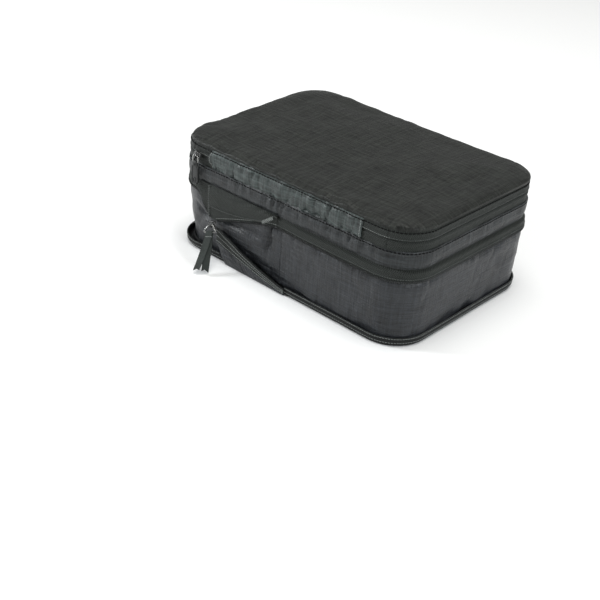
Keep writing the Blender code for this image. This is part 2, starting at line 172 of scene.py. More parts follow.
def signed_offset(x, y):
    """How far points stand outside the outline, with the outward direction."""
    y = y - stuffing(y)
    qx, qy = np.abs(x) - (HALF_X - CORNER), np.abs(y) - (HALF_Y - CORNER)
    px, py = np.maximum(qx, 0), np.maximum(qy, 0)
    length = np.hypot(px, py)
    inside = np.minimum(np.maximum(qx, qy), 0)
    corner = length > 1e-9
    along_x = np.where(corner, px / np.maximum(length, 1e-9), qx > qy)
    along_y = np.where(corner, py / np.maximum(length, 1e-9), qx <= qy)
    return length + inside - CORNER, along_x * np.sign(x), along_y * np.sign(y)


def between(low, high, value):
    """0 up to low, 1 from high on, and straight between them."""
    return np.clip((value - low) / (high - low), 0, 1)


def smooth_step(low, high, value):
    share = between(low, high, value)
    return share * share * (3 - 2 * share)


def bump(value, centre, width):
    return np.exp(-(((value - centre) / width) ** 2))


def on_front(y):
    """1 on the -Y side, falling to 0 at its corners."""
    return smooth_step(WALL_Y + 0.016, WALL_Y + 0.003, y)


def noise(x, y, seed, wrap=0):
    """Smooth noise from -1 to 1. A wrap makes it repeat after that many cells along x."""
    size = 512
    table = np.random.default_rng(seed).random((size, size)) * 2 - 1
    x, y = np.broadcast_arrays(np.asarray(x, float), np.asarray(y, float))
    ix, iy = np.floor(x).astype(int), np.floor(y).astype(int)
    fx, fy = x - ix, y - iy
    fx, fy = fx * fx * fx * (fx * (fx * 6 - 15) + 10), fy * fy * fy * (fy * (fy * 6 - 15) + 10)
    period = wrap or size
    x0, x1 = ix % period, (ix + 1) % period
    y0, y1 = iy % size, (iy + 1) % size
    low = table[x0, y0] * (1 - fx) + table[x1, y0] * fx
    high = table[x0, y1] * (1 - fx) + table[x1, y1] * fx
    return low * (1 - fy) + high * fy


def round_noise(distance, across, pitch, seed):
    """Noise round the outline with about that pitch, without a break where it meets itself."""
    cells = max(4, round(PERIMETER / pitch))
    return noise(np.mod(distance, PERIMETER) / PERIMETER * cells, across, seed, cells)


def gathers(distance, away, seed, pitch, reach, slant=0.0):
    """Puckers that run away from a sewn edge: narrow creases between soft swells, from -1 to 0.6."""
    shifted = distance + slant * away
    wide = round_noise(shifted, away / (6 * pitch), pitch * 2.4, seed)
    fine = round_noise(shifted, away / (4 * pitch), pitch, seed + 1)
    crease = 1.7 * np.abs(0.55 * wide + 0.75 * fine) ** 0.85 - 0.9
    strength = 0.75 + 0.35 * round_noise(distance, 0 * away, pitch * 7, seed + 2)
    return crease * strength * np.exp(-np.abs(away) / reach) * smooth_step(-0.0002, 0.0022, np.abs(away))


def spaced(start, end, step):
    return np.linspace(start, end, max(2, round((end - start) / step) + 1))


def round_distances(step):
    count = round(PERIMETER / step)
    return np.arange(count) * PERIMETER / count


def signed_distance(s):
    """Distances either side of the middle of the -Y side, negative towards -X."""
    return np.mod(s + PERIMETER / 2, PERIMETER) - PERIMETER / 2


# ---------------------------------------------------------------- meshes


def linked(name, data):
    """An object in the scene."""
    made = bpy.data.objects.new(name, data)
    bpy.context.scene.collection.objects.link(made)
    return made


def finished(name, mesh, look, sharp):
    mesh.materials.append(look)
    mesh.shade_smooth()
    mesh.set_sharp_from_angle(angle=math.radians(sharp))
    return linked(name, mesh)


def add_mesh(name, points, faces, look, uv=None, sharp=40):
    """A smooth object from points and faces, with its distances along the cloth as a UV map."""
    mesh = bpy.data.meshes.new(name)
    mesh.from_pydata(np.asarray(points).tolist(), [], faces)
    if uv is not None:
        layer = mesh.uv_layers.new(name="cloth")
        loops = np.zeros(len(mesh.loops), np.int32)
        mesh.loops.foreach_get("vertex_index", loops)
        layer.data.foreach_set("uv", np.asarray(uv, float)[loops].ravel())
    return finished(name, mesh, look, sharp)


def grid_faces(rows, columns, first, flip=False, closed=False):
    faces = []
    for i in range(rows if closed else rows - 1):
        j = (i + 1) % rows
        for k in range(columns - 1):
            face = (first + i * columns + k, first + j * columns + k)
            face += (first + j * columns + k + 1, first + i * columns + k + 1)
            faces.append(face[::-1] if flip else face)
    return faces


def shell(name, outer, inner, uv, look, closed=False):
    """A closed cloth layer between two grids of points, (rows, columns, 3)."""
    rows, columns = outer.shape[:2]
    count = rows * columns
    faces = grid_faces(rows, columns, 0, closed=closed)
    faces += grid_faces(rows, columns, count, flip=True, closed=closed)
    for i in range(rows if closed else rows - 1):
        j = (i + 1) % rows
        low, next_low = i * columns, j * columns
        faces.append((low, count + low, count + next_low, next_low))
        high, next_high = low + columns - 1, next_low + columns - 1
        faces.append((high, next_high, count + next_high, count + high))
    if not closed:
        last = (rows - 1) * columns
        for k in range(columns - 1):
            faces.append((k, k + 1, count + k + 1, count + k))
            faces.append((last + k, count + last + k, count + last + k + 1, last + k + 1))
    points = np.concatenate([outer.reshape(-1, 3), inner.reshape(-1, 3)])
    flat = uv.reshape(-1, 2)
    return add_mesh(name, points, faces, look, np.concatenate([flat, flat]))


def wall(name, distances, heights, offset, look, thickness=CLOTH, closed=False):
    """A cloth wall. offset is a function of (distance, height) on the whole grid."""
    s, z = np.meshgrid(distances, heights, indexing="ij")
    out = offset(s, z)
    outer, inner = wall_points(s, out, z), wall_points(s, out - thickness, z)
    return shell(name, outer, inner, np.stack([s, z], -1), look, closed)


def tube_mesh(paths, radius, sides, closed=False):
    """Points and faces of round threads along paths, an array (paths, points, 3)."""
    paths = np.asarray(paths, float)
    count, steps = paths.shape[:2]
    if closed:
        along = np.roll(paths, -1, 1) - np.roll(paths, 1, 1)
    else:
        along = np.gradient(paths, axis=1)
    along /= np.maximum(np.linalg.norm(along, axis=2, keepdims=True), 1e-12)
    helper = np.where(np.abs(along[..., 2:3]) < 0.8, [[[0.0, 0.0, 1.0]]], [[[1.0, 0.0, 0.0]]])
    side = np.cross(along, helper)
    side /= np.linalg.norm(side, axis=2, keepdims=True)
    up = np.cross(side, along)
    angles = np.arange(sides) * 2 * math.pi / sides
    radii = np.broadcast_to(np.asarray(radius, float), (count, steps))[..., None, None]
    ring = side[:, :, None] * np.cos(angles)[:, None] + up[:, :, None] * np.sin(angles)[:, None]
    points = (paths[:, :, None] + ring * radii).reshape(-1, 3)
    faces = []
    for c in range(count):
        first = c * steps * sides
        for i in range(steps if closed else steps - 1):
            j = (i + 1) % steps
            for k in range(sides):
                m = (k + 1) % sides
                a, b = first + i * sides, first + j * sides
                faces.append((a + k, a + m, b + m, b + k))
        if not closed:
            faces.append(tuple(first + k for k in range(sides))[::-1])
            last = first + (steps - 1) * sides
            faces.append(tuple(last + k for k in range(sides)))
    return points, faces


def threads(name, paths, radius, look, sides=6, closed=False, sharp=80):
    """Round threads or wires along paths."""
    points, faces = tube_mesh(paths, radius, sides, closed)
    return add_mesh(name, points, faces, look, sharp=sharp)


def along_line(at, run, values):
    """A line's points or directions at distances along it."""
    return np.stack([np.interp(at, run, values[:, i]) for i in range(3)], -1)


def stitch_paths(line, pitch=STITCH_PITCH, length=STITCH_LENGTH, rise=STITCH_RISE):
    """Short arched threads along a dense line of (point, outward) arrays."""
    points, outward = line
    run = run_along(points)
    count = max(1, int(run[-1] // pitch))
    middles = (np.arange(count) + 0.5) * run[-1] / count
    shares = np.array([-0.5, -0.4, -0.2, 0, 0.2, 0.4, 0.5])
    lift = np.array([-1.6, 0.1, 0.8, 1.0, 0.8, 0.1, -1.6]) * rise
    at = middles[:, None] + shares * length
    return along_line(at, run, points) + along_line(at, run, outward) * lift[:, None]


def wall_line(distances, offset, height):
    """A line on a wall: points and outward directions, for stitches to lie on."""
    _, _, nx, ny = outline(distances)
    return wall_points(distances, offset, height), np.stack([nx, ny, 0 * nx], -1)


def on_wall(distances, offset, height, lift=THREAD_LIFT):
    """As wall_line(), on cloth that an offset function describes."""
    return wall_line(distances, offset(distances, height) + lift, height)


def face_line(x, out, z):
    """As wall_line(), on the long side's straight stretch."""
    points = points_at(x, WALL_Y - out, z)
    return points, np.broadcast_to([0.0, -1.0, 0.0], points.shape)


def stitches(name, lines, look, radius=THREAD, **sizes):
    paths = np.concatenate([stitch_paths(line, **sizes) for line in lines])
    return threads(name, paths, radius, look)


def coil(name, line, half_out=0.0009, half_up=0.0008):
    """A zip coil: a flattened helix round a dense line of (point, outward) arrays."""
    points, outward = line
    run = run_along(points)
    turns = int(run[-1] / COIL_PITCH)
    phase = np.arange(turns * COIL_STEPS + 1) * 2 * math.pi / COIL_STEPS
    at = phase / (2 * math.pi) * run[-1] / turns
    centre, out = along_line(at, run, points), along_line(at, run, outward)
    along = np.gradient(centre, axis=0)
    along /= np.linalg.norm(along, axis=1, keepdims=True)
    up = np.cross(along, out)
    wave = out * np.cos(phase)[:, None] * half_out + up * np.sin(phase)[:, None] * half_up
    wave += along * np.cos(phase)[:, None] * COIL_LEAN * COIL_PITCH
    return threads(name, [centre + wave], COIL_WIRE, COIL, sides=5)


# ---------------------------------------------------------------- materials


class Value:
    """An output of a material's node. Sums and products of it add math nodes."""

    def __init__(self, surface, socket):
        self.surface = surface
        self.socket = socket

    def math(self, operation, other=0.0):
        node = self.surface.nodes.new("ShaderNodeMath")
        node.operation = operation
        self.surface.put(node.inputs[0], self)
        self.surface.put(node.inputs[1], other)
        return Value(self.surface, node.outputs[0])

    def __add__(self, other):
        return self.math("ADD", other)

    def __mul__(self, other):
        return self.math("MULTIPLY", other)

    def spread(self, low, high, to_low, to_high):
        """Moves the range from low to high onto the range from to_low to to_high."""
        node = self.surface.nodes.new("ShaderNodeMapRange")
        for socket, value in zip(node.inputs, (self, low, high, to_low, to_high)):
            self.surface.put(socket, value)
        return Value(self.surface, node.outputs[0])


class Surface:
    """A Principled material with a small set of node helpers."""

    def __init__(self, name, roughness, metallic=0.0, sheen=0.0, specular=0.5):
        self.material = bpy.data.materials.new(name)
        self.material.use_nodes = True
        self.nodes = self.material.node_tree.nodes
        self.links = self.material.node_tree.links
        self.inputs = self.nodes["Principled BSDF"].inputs
        self.inputs["Roughness"].default_value = roughness
        self.inputs["Metallic"].default_value = metallic
        self.inputs["Sheen Weight"].default_value = sheen
        self.inputs["Sheen Roughness"].default_value = 0.5
        self.inputs["Specular IOR Level"].default_value = specular

    def put(self, socket, value):
        if isinstance(value, Value):
            self.links.new(value.socket, socket)
        else:
            socket.default_value = value

    def cloth_axes(self):
        """Distances in metres along and across the cloth, from its UV map."""
        node = self.nodes.new("ShaderNodeUVMap")
        node.uv_map = "cloth"
        split = self.nodes.new("ShaderNodeSeparateXYZ")
        self.links.new(node.outputs["UV"], split.inputs[0])
        return Value(self, split.outputs[0]), Value(self, split.outputs[1])

    def object_axes(self):
        return Value(self, self.nodes.new("ShaderNodeTexCoord").outputs["Object"])

    def point(self, x, y, z=0.0):
        node = self.nodes.new("ShaderNodeCombineXYZ")
        for socket, value in zip(node.inputs, (x, y, z)):
            self.put(socket, value)
        return Value(self, node.outputs[0])

    def noise(self, where, scale, detail=2.0, rough=0.5):
        node = self.nodes.new("ShaderNodeTexNoise")
        for label, value in (("Vector", where), ("Scale", scale), ("Detail", detail), ("Roughness", rough)):
            self.put(node.inputs[label], value)
        return Value(self, node.outputs["Fac"])

    def finish(self, color, shade, height, distance, strength, roughness=None):
        """Puts a colour times its shade, a relief and an uneven roughness on the shader."""
        scaled = self.nodes.new("ShaderNodeVectorMath")
        scaled.operation = "SCALE"
        scaled.inputs[0].default_value = color
        self.put(scaled.inputs["Scale"], shade)
        self.links.new(scaled.outputs[0], self.inputs["Base Color"])
        relief = self.nodes.new("ShaderNodeBump")
        relief.inputs["Strength"].default_value = strength
        relief.inputs["Distance"].default_value = distance
        self.put(relief.inputs["Height"], height)
        self.links.new(relief.outputs[0], self.inputs["Normal"])
        if roughness:
            self.put(self.inputs["Roughness"], roughness)
        return self.material


def stripes(value, pitch, width):
    """1 on lines at that pitch, 0 between them."""
    near = (value * (1 / pitch)).math("FRACT").math("SUBTRACT", 0.5).math("ABSOLUTE")
    return near.spread(0.5 - width / pitch, 0.5 - 0.4 * width / pitch, 0.0, 1.0)


def ripstop(name, color, roughness, specular):
    """Coated ripstop: a fine slubby weave with a grid of thicker yarns."""
    surface = Surface(name, roughness, sheen=0.02, specular=specular)
    u, v = surface.cloth_axes()
    yarn, slub = 1 / 0.0011, 1 / 0.016
    weft = surface.noise(surface.point(u * slub, v * yarn), 1.0, 3.0, 0.65)
    warp = surface.noise(surface.point(u * yarn, v * slub, 7.0), 1.0, 3.0, 0.65)
    grid = stripes(u, 0.0046, 0.00034).math("MAXIMUM", stripes(v, 0.0046, 0.00034))
    broad = surface.noise(surface.point(u, v, 3.0), 45.0, 3.0)
    slubs = []
    for along, across, layer in ((u, v, 11.0), (v, u, 17.0)):
        where = surface.point(along * (1 / 0.030), across * (1 / 0.0021), layer)
        slubs.append(surface.noise(where, 1.0, 2.0, 0.7).spread(0.42, 0.66, -0.5, 0.75))
    weave = weft * 0.5 + warp * 0.5
    thick = slubs[0] + slubs[1]
    shade = (weave.spread(0.36, 0.64, 0.45, 1.55) + thick * 0.55).math("MAXIMUM", 0.15)
    shade = shade * broad.spread(0.3, 0.7, 0.90, 1.10) + grid * 0.30
    uneven = weave.spread(0.3, 0.7, roughness - 0.07, roughness + 0.09)
    relief = weave + grid * 0.5 + thick * 0.3
    return surface.finish(color, shade, relief, 0.00040, 0.9, uneven)


def herringbone(name, color):
    """Woven zip tape: slanted ribs that turn at each stripe along the tape."""
    surface = Surface(name, 0.60, sheen=0.02, specular=0.22)
    u, v = surface.cloth_axes()
    slanted = u + v.math("PINGPONG", 0.0019) * 0.9
    rib = (slanted * (2 * math.pi / 0.0016)).math("SINE")
    fibre = surface.noise(surface.point(u, v), 900.0)
    broad = surface.noise(surface.point(u, v, 2.0), 70.0, 3.0)
    shade = rib.spread(-1.0, 1.0, 0.42, 1.58) * fibre.spread(0.3, 0.7, 0.86, 1.14)
    shade = shade * broad.spread(0.3, 0.7, 0.92, 1.08)
    return surface.finish(color, shade, rib + fibre * 0.8, 0.00016, 0.9)


def ribbed(name, color, pitch):
    """Grosgrain and webbing: ribs across the band."""
    surface = Surface(name, 0.72, sheen=0.02, specular=0.22)
    u, v = surface.cloth_axes()
    rib = (u * (2 * math.pi / pitch)).math("SINE")
    weave = rib * (v * (2 * math.pi / (pitch * 1.3))).math("SINE")
    fibre = surface.noise(surface.point(u, v), 1100.0, 3.0)
    broad = surface.noise(surface.point(u, v, 5.0), 90.0)
    shade = weave.spread(-1.0, 1.0, 0.72, 1.28) * fibre.spread(0.3, 0.7, 0.82, 1.18)
    shade = shade * broad.spread(0.3, 0.7, 0.90, 1.10)
    return surface.finish(color, shade, weave + fibre, 0.00022, 0.9)


def thread_look(name, color, specular=0.3):
    """Twisted thread."""
    surface = Surface(name, 0.55, sheen=0.02, specular=specular)
    fibre = surface.noise(surface.object_axes(), 2200.0)
    return surface.finish(color, fibre.spread(0.3, 0.7, 0.7, 1.3), fibre, 0.0001, 0.7)


def moulded(name, color, roughness):
    """Moulded plastic with a faint grain."""
    surface = Surface(name, roughness)
    where = surface.object_axes()
    fine = surface.noise(where, 900.0)
    shade = surface.noise(where, 120.0).spread(0.3, 0.7, 0.88, 1.12)
    uneven = fine.spread(0.3, 0.7, roughness - 0.06, roughness + 0.08)
    return surface.finish(color, shade, fine, 0.00005, 0.6, uneven)


def metal(name, color, roughness):
    """Plated die-cast metal, a little worn and uneven."""
    surface = Surface(name, roughness, metallic=1.0)
    where = surface.object_axes()
    broad = surface.noise(where, 350.0, 3.0)
    shade = broad.spread(0.35, 0.65, 0.80, 1.15)
    uneven = broad.spread(0.3, 0.7, roughness - 0.08, roughness + 0.14)
    return surface.finish(color, shade, surface.noise(where, 2500.0), 0.00004, 0.5, uneven)


TOP_CLOTH = ripstop("ripstop_top", (0.0128, 0.0142, 0.0122), 0.44, 0.22)
STRIP_CLOTH = ripstop("ripstop_strip", (0.0330, 0.0430, 0.0410), 0.42, 0.36)
SIDE_CLOTH = ripstop("ripstop_side", (0.0140, 0.0165, 0.0178), 0.42, 0.34)
GUSSET_CLOTH = ripstop("ripstop_gusset", (0.0122, 0.0142, 0.0170), 0.38, 0.38)
TAPE_CLOTH = herringbone("zip_tape", (0.0165, 0.0195, 0.0170))
# Painted shade: the base zip tape is the same herringbone tape as the others, painted much darker to stand in
# for the shade at the cube's foot, where a dark ground would send back little light.
BASE_TAPE_PAINTED_SHADE = herringbone("base_zip_tape_painted_shade", (0.0062, 0.0072, 0.0068))
BINDING = ribbed("seam_binding", (0.012, 0.013, 0.013), 0.0010)
WEBBING = ribbed("webbing", (0.012, 0.014, 0.013), 0.0016)
RIBBON = ribbed("pull_ribbon", (0.034, 0.040, 0.037), 0.0011)
# Black thread, painted darker still: part of its darkness is painted shade standing in for the shadow in the
# seam's crease.
BLACK_THREAD_AND_CREASE_SHADE = thread_look("black_thread_and_crease_shade", (0.0015, 0.0015, 0.0015), 0.05)
GREY_THREAD = thread_look("grey_thread", (0.075, 0.083, 0.078))
PALE_THREAD = thread_look("pale_thread", (0.230, 0.245, 0.235))
COIL = moulded("coil_nylon", (0.012, 0.014, 0.013), 0.34)
PULL = moulded("moulded_pull", (0.007, 0.008, 0.008), 0.42)
GUNMETAL = metal("gunmetal", (0.10, 0.10, 0.10), 0.30)
BRIGHT_METAL = metal("bright_metal", (0.30, 0.30, 0.29), 0.22)


# ---------------------------------------------------------------- pieces


def stands_for(nodes):
    """Hides the CAD nodes that a piece stands for."""
    if nodes:
        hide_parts(*nodes)


def piece(obj, body, slot, *nodes):
    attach(obj, body)
    stands_for(nodes)


def bending_piece(obj, slot, *nodes):
    """Bakes obj's place into its mesh and hides the CAD nodes that it stands for; used for cloth that bends
    between the upper frame and the lid, though nothing here makes it bend.
    """
    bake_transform(obj)
    stands_for(nodes)


def folding_piece(obj, body, slot, anchor_z, keep, *nodes):
    """As piece(), then gives obj a mesh of its own; used for cloth that flattens as the frame comes down,
    though nothing here folds it.
    """
    piece(obj, body, slot, *nodes)
    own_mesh(obj)


# ---------------------------------------------------------------- base


def settle(points, rest, pinned, faces, pressure, frames, bending):
    """Points of a sheet after a short cloth simulation, made at ten times its size."""
    grow = 10.0
    mesh = bpy.data.meshes.new("settling")
    mesh.from_pydata((points.reshape(-1, 3) * grow).tolist(), [], faces)
    cloth = linked("settling", mesh)
    group = cloth.vertex_groups.new(name="pin")
    group.add([int(i) for i in np.flatnonzero(pinned.ravel())], 1.0, "REPLACE")
    cloth.shape_key_add(name="Basis")
    key = cloth.shape_key_add(name="rest")
    key.data.foreach_set("co", (rest.reshape(-1, 3) * grow).ravel())
    key.value = 0.0
    modifier = cloth.modifiers.new("cloth", "CLOTH")
    modifier.point_cache.frame_start = 1
    modifier.point_cache.frame_end = frames
    settings = modifier.settings
    settings.rest_shape_key = key
    settings.vertex_group_mass = "pin"
    settings.quality = 6
    settings.mass = 0.3
    settings.tension_stiffness = 25
    settings.compression_stiffness = 25
    settings.shear_stiffness = 8
    settings.bending_stiffness = bending
    settings.air_damping = 2.0
    settings.use_pressure = True
    settings.uniform_pressure_force = pressure
    settings.effector_weights.gravity = 0.0
    modifier.collision_settings.use_collision = False
    for number in range(1, frames + 1):
        bpy.context.scene.frame_set(number)
    done = cloth.evaluated_get(bpy.context.evaluated_depsgraph_get())
    found = np.zeros(len(mesh.vertices) * 3)
    done.data.vertices.foreach_get("co", found)
    bpy.context.scene.frame_set(1)
    bpy.data.objects.remove(cloth)
    bpy.data.meshes.remove(mesh)
    return found.reshape(points.shape) / grow


def finer(grid, rows, columns, closed):
    """Resamples a grid of points to that many rows and columns, with smooth curves between."""

    def weights(count, wanted, wraps):
        at = np.arange(wanted) * count / wanted if wraps else np.linspace(0, count - 1, wanted)
        first = np.floor(at).astype(int)
        t = at - first
        table = np.zeros((wanted, count))
        parts = (
            (-1, -0.5 * t + t**2 - 0.5 * t**3),
            (0, 1 - 2.5 * t**2 + 1.5 * t**3),
            (1, 0.5 * t + 2 * t**2 - 1.5 * t**3),
            (2, -0.5 * t**2 + 0.5 * t**3),
        )
        for step, share in parts:
            index = (first + step) % count if wraps else np.clip(first + step, 0, count - 1)
            np.add.at(table, (np.arange(wanted), index), share)
        return table

    down = weights(grid.shape[0], rows, closed)
    across = weights(grid.shape[1], columns, False)
    return np.einsum("ai,bj,ijk->abk", down, across, grid)


def moved_out(points, distance):
    """Points moved away from the plan outline."""
    _, nx, ny = signed_offset(points[..., 0], points[..., 1])
    return points + np.stack([nx, ny, 0 * nx], -1) * np.asarray(distance)[..., None]


def keep_within(points, limit):
    """Moves points that stand further out than limit back to it, softly."""
    offset = signed_offset(points[..., 0], points[..., 1])[0]
    soft = 0.0006
    return moved_out(points, -np.logaddexp(0, (offset - limit) / soft) * soft)


def gusset_profile(s, z):
    """Where the gusset stands before it settles: in behind the tapes, out between them."""
    share = between(0.0035, UPPER_CHAIN, z)
    out = -0.0020 + 0.0024 * np.sin(np.pi * share) ** 0.40
    out += 0.0016 * bump(share, 0.86, 0.10) - 0.0006 * bump(share, 0.60, 0.16)
    x, y, _, _ = outline(s)
    left = smooth_step(-0.090, -0.118, x) * smooth_step(0.02, -0.05, y)
    climb = smooth_step(0.020, -0.010, x) * on_front(y)
    return out - 0.0030 * left * bump(share, 0.20, 0.28) - 0.0016 * climb


def gusset_limit(s, z):
    """How far out the gusset may come: behind the zip's climb, and behind the tapes once folded."""
    x, y, _, _ = outline(s)
    climb = smooth_step(0.016, 0.004, x) * on_front(y)
    behind_base = smooth_step(0.030, 0.025, z)
    return TAPE_STAND - 0.0009 - 0.0008 * behind_base - 0.0017 * climb * (1 - 0.4 * behind_base)


def fold(x, z, start, end, depth, width):
    """A straight fold from start to end in (x, z), deepest at its start."""
    ax, az = start
    bx, bz = end
    length = math.hypot(bx - ax, bz - az)
    ux, uz = (bx - ax) / length, (bz - az) / length
    along = ((x - ax) * ux + (z - az) * uz) / length
    away = (x - ax) * -uz + (z - az) * ux
    strength = smooth_step(-0.08, 0.06, along) * (1 - smooth_step(0.55, 1.05, along))
    return depth * strength * np.exp(-((away / (width * (0.5 + along.clip(0, 1)))) ** 2))


PULL_FOLDS = (
    # start (x, z), end (x, z), depth, width
    ((-0.072, 0.034), (-0.008, 0.024), 0.0014, 0.0030),
    ((-0.072, 0.038), (-0.004, 0.040), -0.0030, 0.0042),
    ((-0.068, 0.028), (0.004, 0.009), -0.0024, 0.0030),
    ((-0.012, 0.054), (-0.016, 0.024), -0.0030, 0.0020),
    ((-0.020, 0.054), (-0.024, 0.026), 0.0012, 0.0030),
    ((-0.079, 0.034), (-0.108, 0.060), 0.0014, 0.0026),
    ((-0.082, 0.030), (-0.106, 0.044), -0.0024, 0.0026),
    ((-0.082, 0.036), (-0.110, 0.024), -0.0020, 0.0030),
)


def zip_pull_folds(s, z):
    """Folds that run from the slider into the gusset, on the long side only."""
    x, y, _, _ = outline(s)
    front = smooth_step(WALL_Y + 0.020, WALL_Y + 0.004, y)
    return front * sum(fold(x, z, *sizes) for sizes in PULL_FOLDS)


def gusset_detail(s, z, low, high):
    """Gathers at both seams, broad swells and the slider's folds, as an outward distance."""
    detail = 0.0029 * gathers(s, high - z - 0.008, 21, 0.0105, 0.024, 0.25)
    detail += 0.0022 * gathers(s, z - low - 0.004, 31, 0.0110, 0.018, -0.25)
    detail += 0.0016 * round_noise(s + 0.4 * z, z / 0.030, 0.022, 42)
    detail += 0.00022 * round_noise(s, z / 0.005, 0.006, 41)
    detail *= 1 - smooth_step(UPPER_CHAIN - 0.003, UPPER_CHAIN + 0.002, z)
    return detail + zip_pull_folds(s, z)


def gusset():
    """The fabric between the two compression tapes."""
    low, high = 0.0022, SEAM_LOW - 0.0006
    s, z = np.meshgrid(round_distances(0.0028), spaced(low, high, 0.0027), indexing="ij")
    start = gusset_profile(s, z) + 0.0003 * round_noise(s, z / 0.012, 0.008, 11)
    points = wall_points(s, start, z)
    rest = points * np.array([1.030, 1.030, 1.006])
    pinned = (z < low + 0.0001) | (z > high - 0.0001)
    points = settle(points, rest, pinned, grid_faces(*s.shape, 0, closed=True), 0.02, 28, 0.35)
    rows, columns = round(PERIMETER / 0.0013), round((high - low) / 0.0011)
    fine = finer(points, rows, columns, True)
    s, z = np.meshgrid(round_distances(0.0013), np.linspace(low, high, columns), indexing="ij")
    fine = moved_out(fine, gusset_detail(s, z, low, high))
    outer = keep_within(fine, gusset_limit(s, z))
    inner = moved_out(outer, -CLOTH)
    made = shell("gusset_wall", outer, inner, np.stack([s, z], -1), GUSSET_CLOTH, closed=True)
    folding_piece(made, "base", "ripstop", 0.0015, GUSSET_KEEP, "gusset")


def base_tape_offset(s, z):
    """The base tape stands out most at the left corners, and less under the zip's climb."""
    x, y, _, _ = outline(s)
    flare = 0.0011 + 0.0014 * smooth_step(-0.085, -0.112, x) + 0.0002 * round_noise(s, 0 * s, 0.03, 51)
    under_climb = smooth_step(RAMP_FOOT_X + 0.010, RAMP_FOOT_X - 0.010, x)
    under_climb *= smooth_step(RAMP_LEFT_X - 0.012, RAMP_LEFT_X + 0.004, x) * on_front(y)
    stand = 1 - np.exp(-z / 0.0013)
    return -0.0006 + (0.0008 + flare * (1 - 0.6 * under_climb)) * stand


def floor_panel():
    """The bottom panel, flat on the ground but for its rolled edge."""
    rings = np.concatenate([np.linspace(0.02, 0.90, 26), np.linspace(0.915, 1.0, 14)])
    s, share = np.meshgrid(round_distances(0.0035), rings, indexing="ij")
    x, y, _, _ = outline(s)
    edge = smooth_step(0.94, 1.0, share)
    uneven = 1 + noise(x * share / 0.03, y * share / 0.03, 61)
    sag = 0.00035 * uneven * (1 - edge) * smooth_step(0.0, 0.15, share)
    reach = share * (1 - 0.0006 / HALF_Y)
    low = 0.0001 + sag + 0.0010 * edge**2
    outer = np.stack([x * reach, y * reach, low], -1)
    inner = outer + np.array([0, 0, CLOTH])
    made = shell("floor_panel", inner, outer, np.stack([x * share, y * share], -1), SIDE_CLOTH, closed=True)
    close_middle(made)
    piece(made, "base", "ripstop", "bottom_panel")


def close_middle(made):
    """Fills the small holes in the middle of both faces of a panel made of rings."""
    mesh = bmesh.new()
    mesh.from_mesh(made.data)
    layer = mesh.loops.layers.uv.active
    near = [f for f in mesh.faces if all(math.hypot(*v.co.xy) < 0.004 for v in f.verts)]
    rim = [f for f in near if abs(f.normal.z) < 0.5]
    bmesh.ops.delete(mesh, geom=rim, context="FACES_ONLY")
    holes = [e for e in mesh.edges if len(e.link_faces) == 1]
    for face in bmesh.ops.holes_fill(mesh, edges=holes, sides=0)["faces"]:
        face.smooth = True
        for loop in face.loops:
            loop[layer].uv = loop.vert.co.xy
    mesh.to_mesh(made.data)
    mesh.free()


def base_tape():
    heights = np.linspace(0.0002, BASE_TAPE_TOP + 0.0006, 10)
    # The base tape's dark colour is painted shade at the cube's foot.
    made = wall("base_tape", round_distances(0.0016), heights, base_tape_offset, BASE_TAPE_PAINTED_SHADE, TAPE, closed=True)
    piece(made, "base", "tape_cloth", "comp_lower_tape")
    s = np.linspace(0, PERIMETER, 900)
    z = BASE_TAPE_TOP * 0.62
    line = on_wall(s, base_tape_offset, z)
    s = s[(s > RAMP_FOOT_X) & (s < PERIMETER + RAMP_LEFT_X)]
    chain = wall_line(s, base_tape_offset(s, LOWER_CHAIN) + 0.0002, LOWER_CHAIN + 0.0002)
    sewn = stitches("base_tape_stitches", [line, chain], PALE_THREAD, 0.00019, pitch=0.0022, length=0.0014)
    piece(sewn, "base", "thread")


def base_chain():
    s = spaced(RAMP_FOOT_X, PERIMETER + RAMP_LEFT_X, LINE_STEP)
    line = on_wall(s, base_tape_offset, LOWER_CHAIN, -0.0005)
    piece(coil("base_chain", line, half_out=FLAT_COIL), "base", "coil_plastic", "comp_lower_coil")


def inside_binding(name, node, body, offset=None):
    """A folded grosgrain binding over a raw seam, on the inside."""
    low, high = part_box(node)
    middle, half = (low.z + high.z) / 2, (high.z - low.z) / 2
    offset = high.x - HALF_X if offset is None else offset

    def curve(s, z):
        bulge = np.sqrt(np.clip(1 - ((z - middle) / (half * 1.02)) ** 2, 0, 1))
        return offset - 0.0006 + 0.0005 * bulge + 0.0002 * round_noise(s, z / 0.01, 0.012, 71)

    heights = np.linspace(low.z, high.z, 7)
    made = wall(name, round_distances(0.0022), heights, curve, BINDING, 0.0007, closed=True)
    piece(made, body, "binding_cloth", node)


def base():
    floor_panel()
    base_tape()
    base_chain()
    inside_binding("base_binding", "base_seam_binding", "base")
    gusset()


# ---------------------------------------------------------------- the zip's climb to the slider


def face_shell(name, xs, rows, low, high, offset, look, thickness=TAPE):
    """Cloth on the long side between two heights. low, high and offset are functions."""
    x, t = np.meshgrid(xs, np.linspace(0, 1, rows), indexing="ij")
    bottom = low(x)
    z = bottom + (high(x) - bottom) * t
    y = WALL_Y - offset(x, t)
    outer, inner = points_at(x, y, z), points_at(x, y + thickness, z)
    run = run_along(np.stack([xs, bottom[:, 0]], -1))
    uv = points_at(run[:, None], z - bottom, 0)[..., :2]
    return shell(name, outer[:, ::-1], inner[:, ::-1], uv[:, ::-1], look)


def slant_left_edge(obj, left, right):
    """Leans the left edge of a web of cloth, so that it runs from the slider down and to the right."""
    for vertex in obj.data.vertices:
        high = max(float(ramp_low(np.array(vertex.co.x))), 0.001)
        down = 1 - min(vertex.co.z / high, 1)
        vertex.co.x += 0.011 * down * (right - vertex.co.x) / (right - left)


